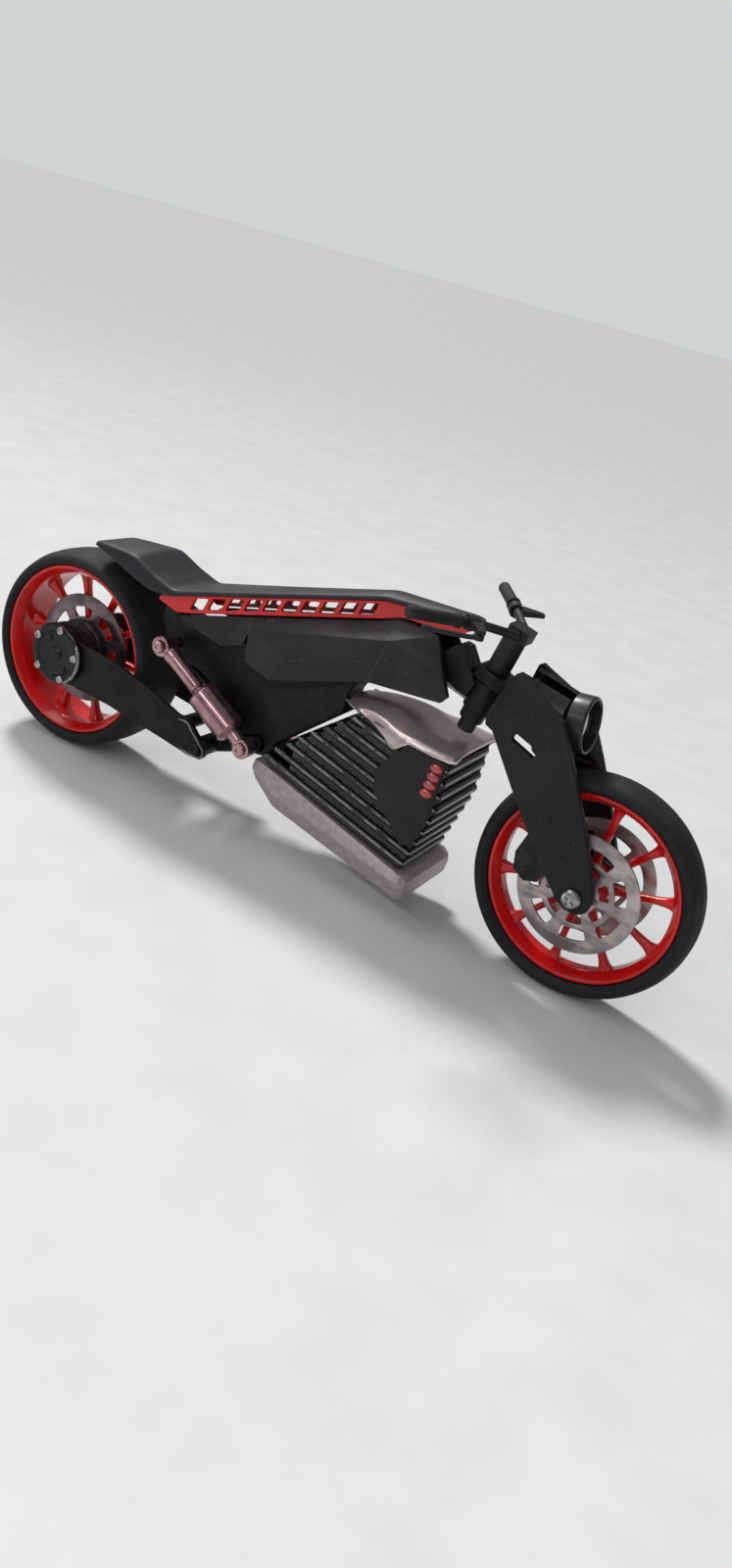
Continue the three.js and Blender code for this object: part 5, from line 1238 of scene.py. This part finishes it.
def lever(bm):
    lathe(bm, fillet([(0, -0.9), (2.2, -0.9), (2.2, 0.9), (0, 0.9)], 0.3, 3, False), place((193.9, -27.0, 82.3), (1, 0, 0), (0, 1, 0), (0, 0, 1)), 36, False)
    pts = spline([(193.9, -27.0, 82.3), (191.3, -31.0, 82.3), (185.0, -36.6, 82.4), (178.4, -42.4, 82.5)], 8)
    n = len(pts)
    rad = [0.95 if k < n - 6 else 0.95 + 0.4 * math.sin((k - n + 6) / 5 * math.pi * 0.8) for k in range(n)]
    pipe(bm, pts, rad, 16, 1.0)


piece("look_brake_lever", MAT["grip"], lever, 50, nodes=("brake_lever",))

# ------------------------------------------------------------------ fork
FORK = [(206.9, 70.7), (208.5, 71.9), (211.1, 70.6), (230.9, 61.8), (241.9, 44.1), (252.1, 26.4), (261.0, 8.6), (263.4, 1.6), (262.8, -3.2), (259.4, -5.8),
        (254.1, -5.6), (249.6, -3.0), (246.7, 0.4), (240.0, 6.5), (230.3, 18.0), (220.2, 30.0), (205.9, 48.0), (202.6, 49.2), (201.7, 52.2)]
SLIT = [(214.0, 48.0), (215.0, 50.9), (225.4, 47.7), (224.3, 44.5)]


def fork_plate(side, sg):
    def b(bm):
        z0, z1 = (13.5, 16.5) if sg < 0 else (-16.5, -13.5)
        rad = [0.8, 0.8, 0.8, 1.2, 0.6, 0.6, 3.0, 3.0, 3.0, 3.0, 3.0, 3.0, 2.0, 2.0, 2.0, 2.0, 1.5, 1.2, 1.2]
        plate(bm, fillet(FORK, rad, 4), z0, z1, FLAT, (fillet(SLIT, 0.8, 3), circle(2.32, 32, 0, WB, 0)), 0.42, 4)
        bmesh.ops.bisect_plane(bm, geom=bm.verts[:] + bm.edges[:] + bm.faces[:], plane_co=P(0, 0, 62.0), plane_no=(0, 0, 1))
        top = P(0, 0, 62.0).z
        for v in bm.verts:
            if v.co.z > top:
                v.co.y -= sg * 0.42 * (v.co.z - top)
    piece("look_fork_plate_" + side, MAT["fork"], b, 30, nodes=("fork_plate_" + side,))


fork_plate("right", -1)
fork_plate("left", 1)
refine("front_axle_screw", MAT["zinc"], 0.18, 2, 30, 40)
refine("brake_caliper_right", MAT["caliper"], 0.8, 3, 25, 60, jitter=0.18, freq=30)
refine("brake_caliper_left", MAT["caliper"], 0.8, 3, 25, 60, jitter=0.18, freq=30)

# ------------------------------------------------------------------ headlamp
TILT = math.radians(8.7)
D = (math.cos(TILT), 0, math.sin(TILT))
F = (237.2, 0, 59.5)
LAMP = axis_to(F, (F[0] + D[0], 0, F[2] + D[2]))
turned("look_headlamp_ring", [(11.2, -0.8), (10.7, 0), (10.0, 0), (9.6, -0.7), (9.6, -7.5), (10.6, -7.5), (11.2, -6.9)], LAMP, MAT["lamp"], ("headlamp_ring",), 120, rad=[0.4, 0.2, 0.2, 0.3, 0.1, 0.3, 0.3])
turned("look_headlamp_lens", [(0, -4.6), (9.2, -4.6), (9.2, -3.4), (8.6, -3.1), (5.5, -2.7), (0, -2.4)], LAMP, MAT["lens"], ("headlamp_lens",), 96, closed=False, rad=0.2)
refine("headlamp_shell", MAT["lamp"], 0.35, 2, 22, 45)

# ------------------------------------------------------------------ stage
AZ, PITCH, ROLL = math.radians(24.4), math.radians(23.62), math.radians(15.56)
back = Vector((math.sin(AZ) * math.cos(PITCH), -math.cos(AZ) * math.cos(PITCH), math.sin(PITCH)))
right = (-back).cross(Vector((0, 0, 1))).normalized()
up = right.cross(-back)
r = right * math.cos(ROLL) + up * math.sin(ROLL)
u = -right * math.sin(ROLL) + up * math.cos(ROLL)
cam_data = bpy.data.cameras.new("camera")
cam_data.lens = 26.86
cam_data.sensor_width = 36
cam_data.sensor_fit = "AUTO"
cam_data.clip_start = 0.01
cam = bpy.data.objects.new("camera", cam_data)
bpy.context.collection.objects.link(cam)
m = Matrix.Identity(4)
c = P(340.0, -408.5, 193.8)
for i, v in enumerate((r, u, back)):
    for j in range(3):
        m[j][i] = v[j]
for j in range(3):
    m[j][3] = c[j]
cam.matrix_world = m
bpy.context.scene.camera = cam


def stage_floor():
    n = Nodes("floor_pale")
    col = n.mix(n.ramp(n.noise(30.0, 4.0), 0.3, 0.7), srgb(212, 214, 214), srgb(218, 220, 219))
    n.set(color=col, rough=0.9, normal=n.bump(n.noise(420.0, 4.0), 0.1, 0.0002), spec=0.12)
    bm = bmesh.new()
    n_, ring = 64, []
    for rad in (0.02, 0.6, 2.0, 8.0, 60.0):
        ring.append([bm.verts.new((rad * math.cos(k / n_ * 2 * math.pi), rad * math.sin(k / n_ * 2 * math.pi), -0.0002)) for k in range(n_)])
    bm.faces.new(ring[0])
    for a, b in zip(ring, ring[1:]):
        for k in range(n_):
            q = (k + 1) % n_
            bm.faces.new((a[k], b[k], b[q], a[q]))
    bmesh.ops.recalc_face_normals(bm, faces=bm.faces)
    me = bpy.data.meshes.new("floor")
    bm.to_mesh(me)
    bm.free()
    me.materials.append(n.mat)
    o = bpy.data.objects.new("floor", me)
    bpy.context.collection.objects.link(o)
    o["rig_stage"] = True


stage_floor()


def area(name, loc, target, size, power, colour=(1, 1, 1)):
    d = bpy.data.lights.new(name, "AREA")
    d.shape = "RECTANGLE"
    d.size, d.size_y = size
    d.energy = power
    d.color = colour
    o = bpy.data.objects.new(name, d)
    bpy.context.collection.objects.link(o)
    o.location = loc
    o.rotation_euler = (Vector(target) - Vector(loc)).to_track_quat("-Z", "Y").to_euler()


area("fill", (0.5, -1.5, 0.7), (0, 0, 0.05), (1.4, 1.2), 0.9, (0.94, 0.96, 1.0))
area("strip", (-0.22, -0.95, 0.78), (0, 0, 0.05), (1.5, 0.09), 3.6, (1.0, 0.985, 0.98))
area("top", (-0.75, -0.25, 1.15), (0, 0, 0.05), (1.1, 0.5), 4.2)
sun_data = bpy.data.lights.new("key", "SUN")
sun_data.energy = 2.55
sun_data.angle = 0.2
sun_data.color = (1.0, 0.985, 0.965)
sun = bpy.data.objects.new("key", sun_data)
bpy.context.collection.objects.link(sun)
sun.rotation_euler = (Vector((0, 0, 0)) - Vector((-0.8, 0.5, 1.15))).to_track_quat("-Z", "Y").to_euler()
world = bpy.data.worlds.new("world")
bpy.context.scene.world = world
world.use_nodes = True
wt = world.node_tree
lit = wt.nodes["Background"]
lit.inputs[0].default_value = (0.86, 0.88, 0.92, 1)
lit.inputs[1].default_value = 0.27
seen = wt.nodes.new("ShaderNodeBackground")
seen.inputs[0].default_value = (0.63, 0.655, 0.66, 1)
rays = wt.nodes.new("ShaderNodeLightPath")
both = wt.nodes.new("ShaderNodeMixShader")
wt.links.new(rays.outputs["Is Camera Ray"], both.inputs[0])
wt.links.new(lit.outputs[0], both.inputs[1])
wt.links.new(seen.outputs[0], both.inputs[2])
wt.links.new(both.outputs[0], wt.nodes["World Output"].inputs["Surface"])
bpy.context.scene.view_settings.view_transform = "Standard"

for n_, o in NODES.items():
    if not o.hide_render and not any(o.data.materials[:]):
        o.data.materials.append(MAT["body"])

new_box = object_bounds()
flat = lambda b: [[float(v) for v in c] for c in b]
{"cad": flat(cad_box), "visual": flat(new_box)}
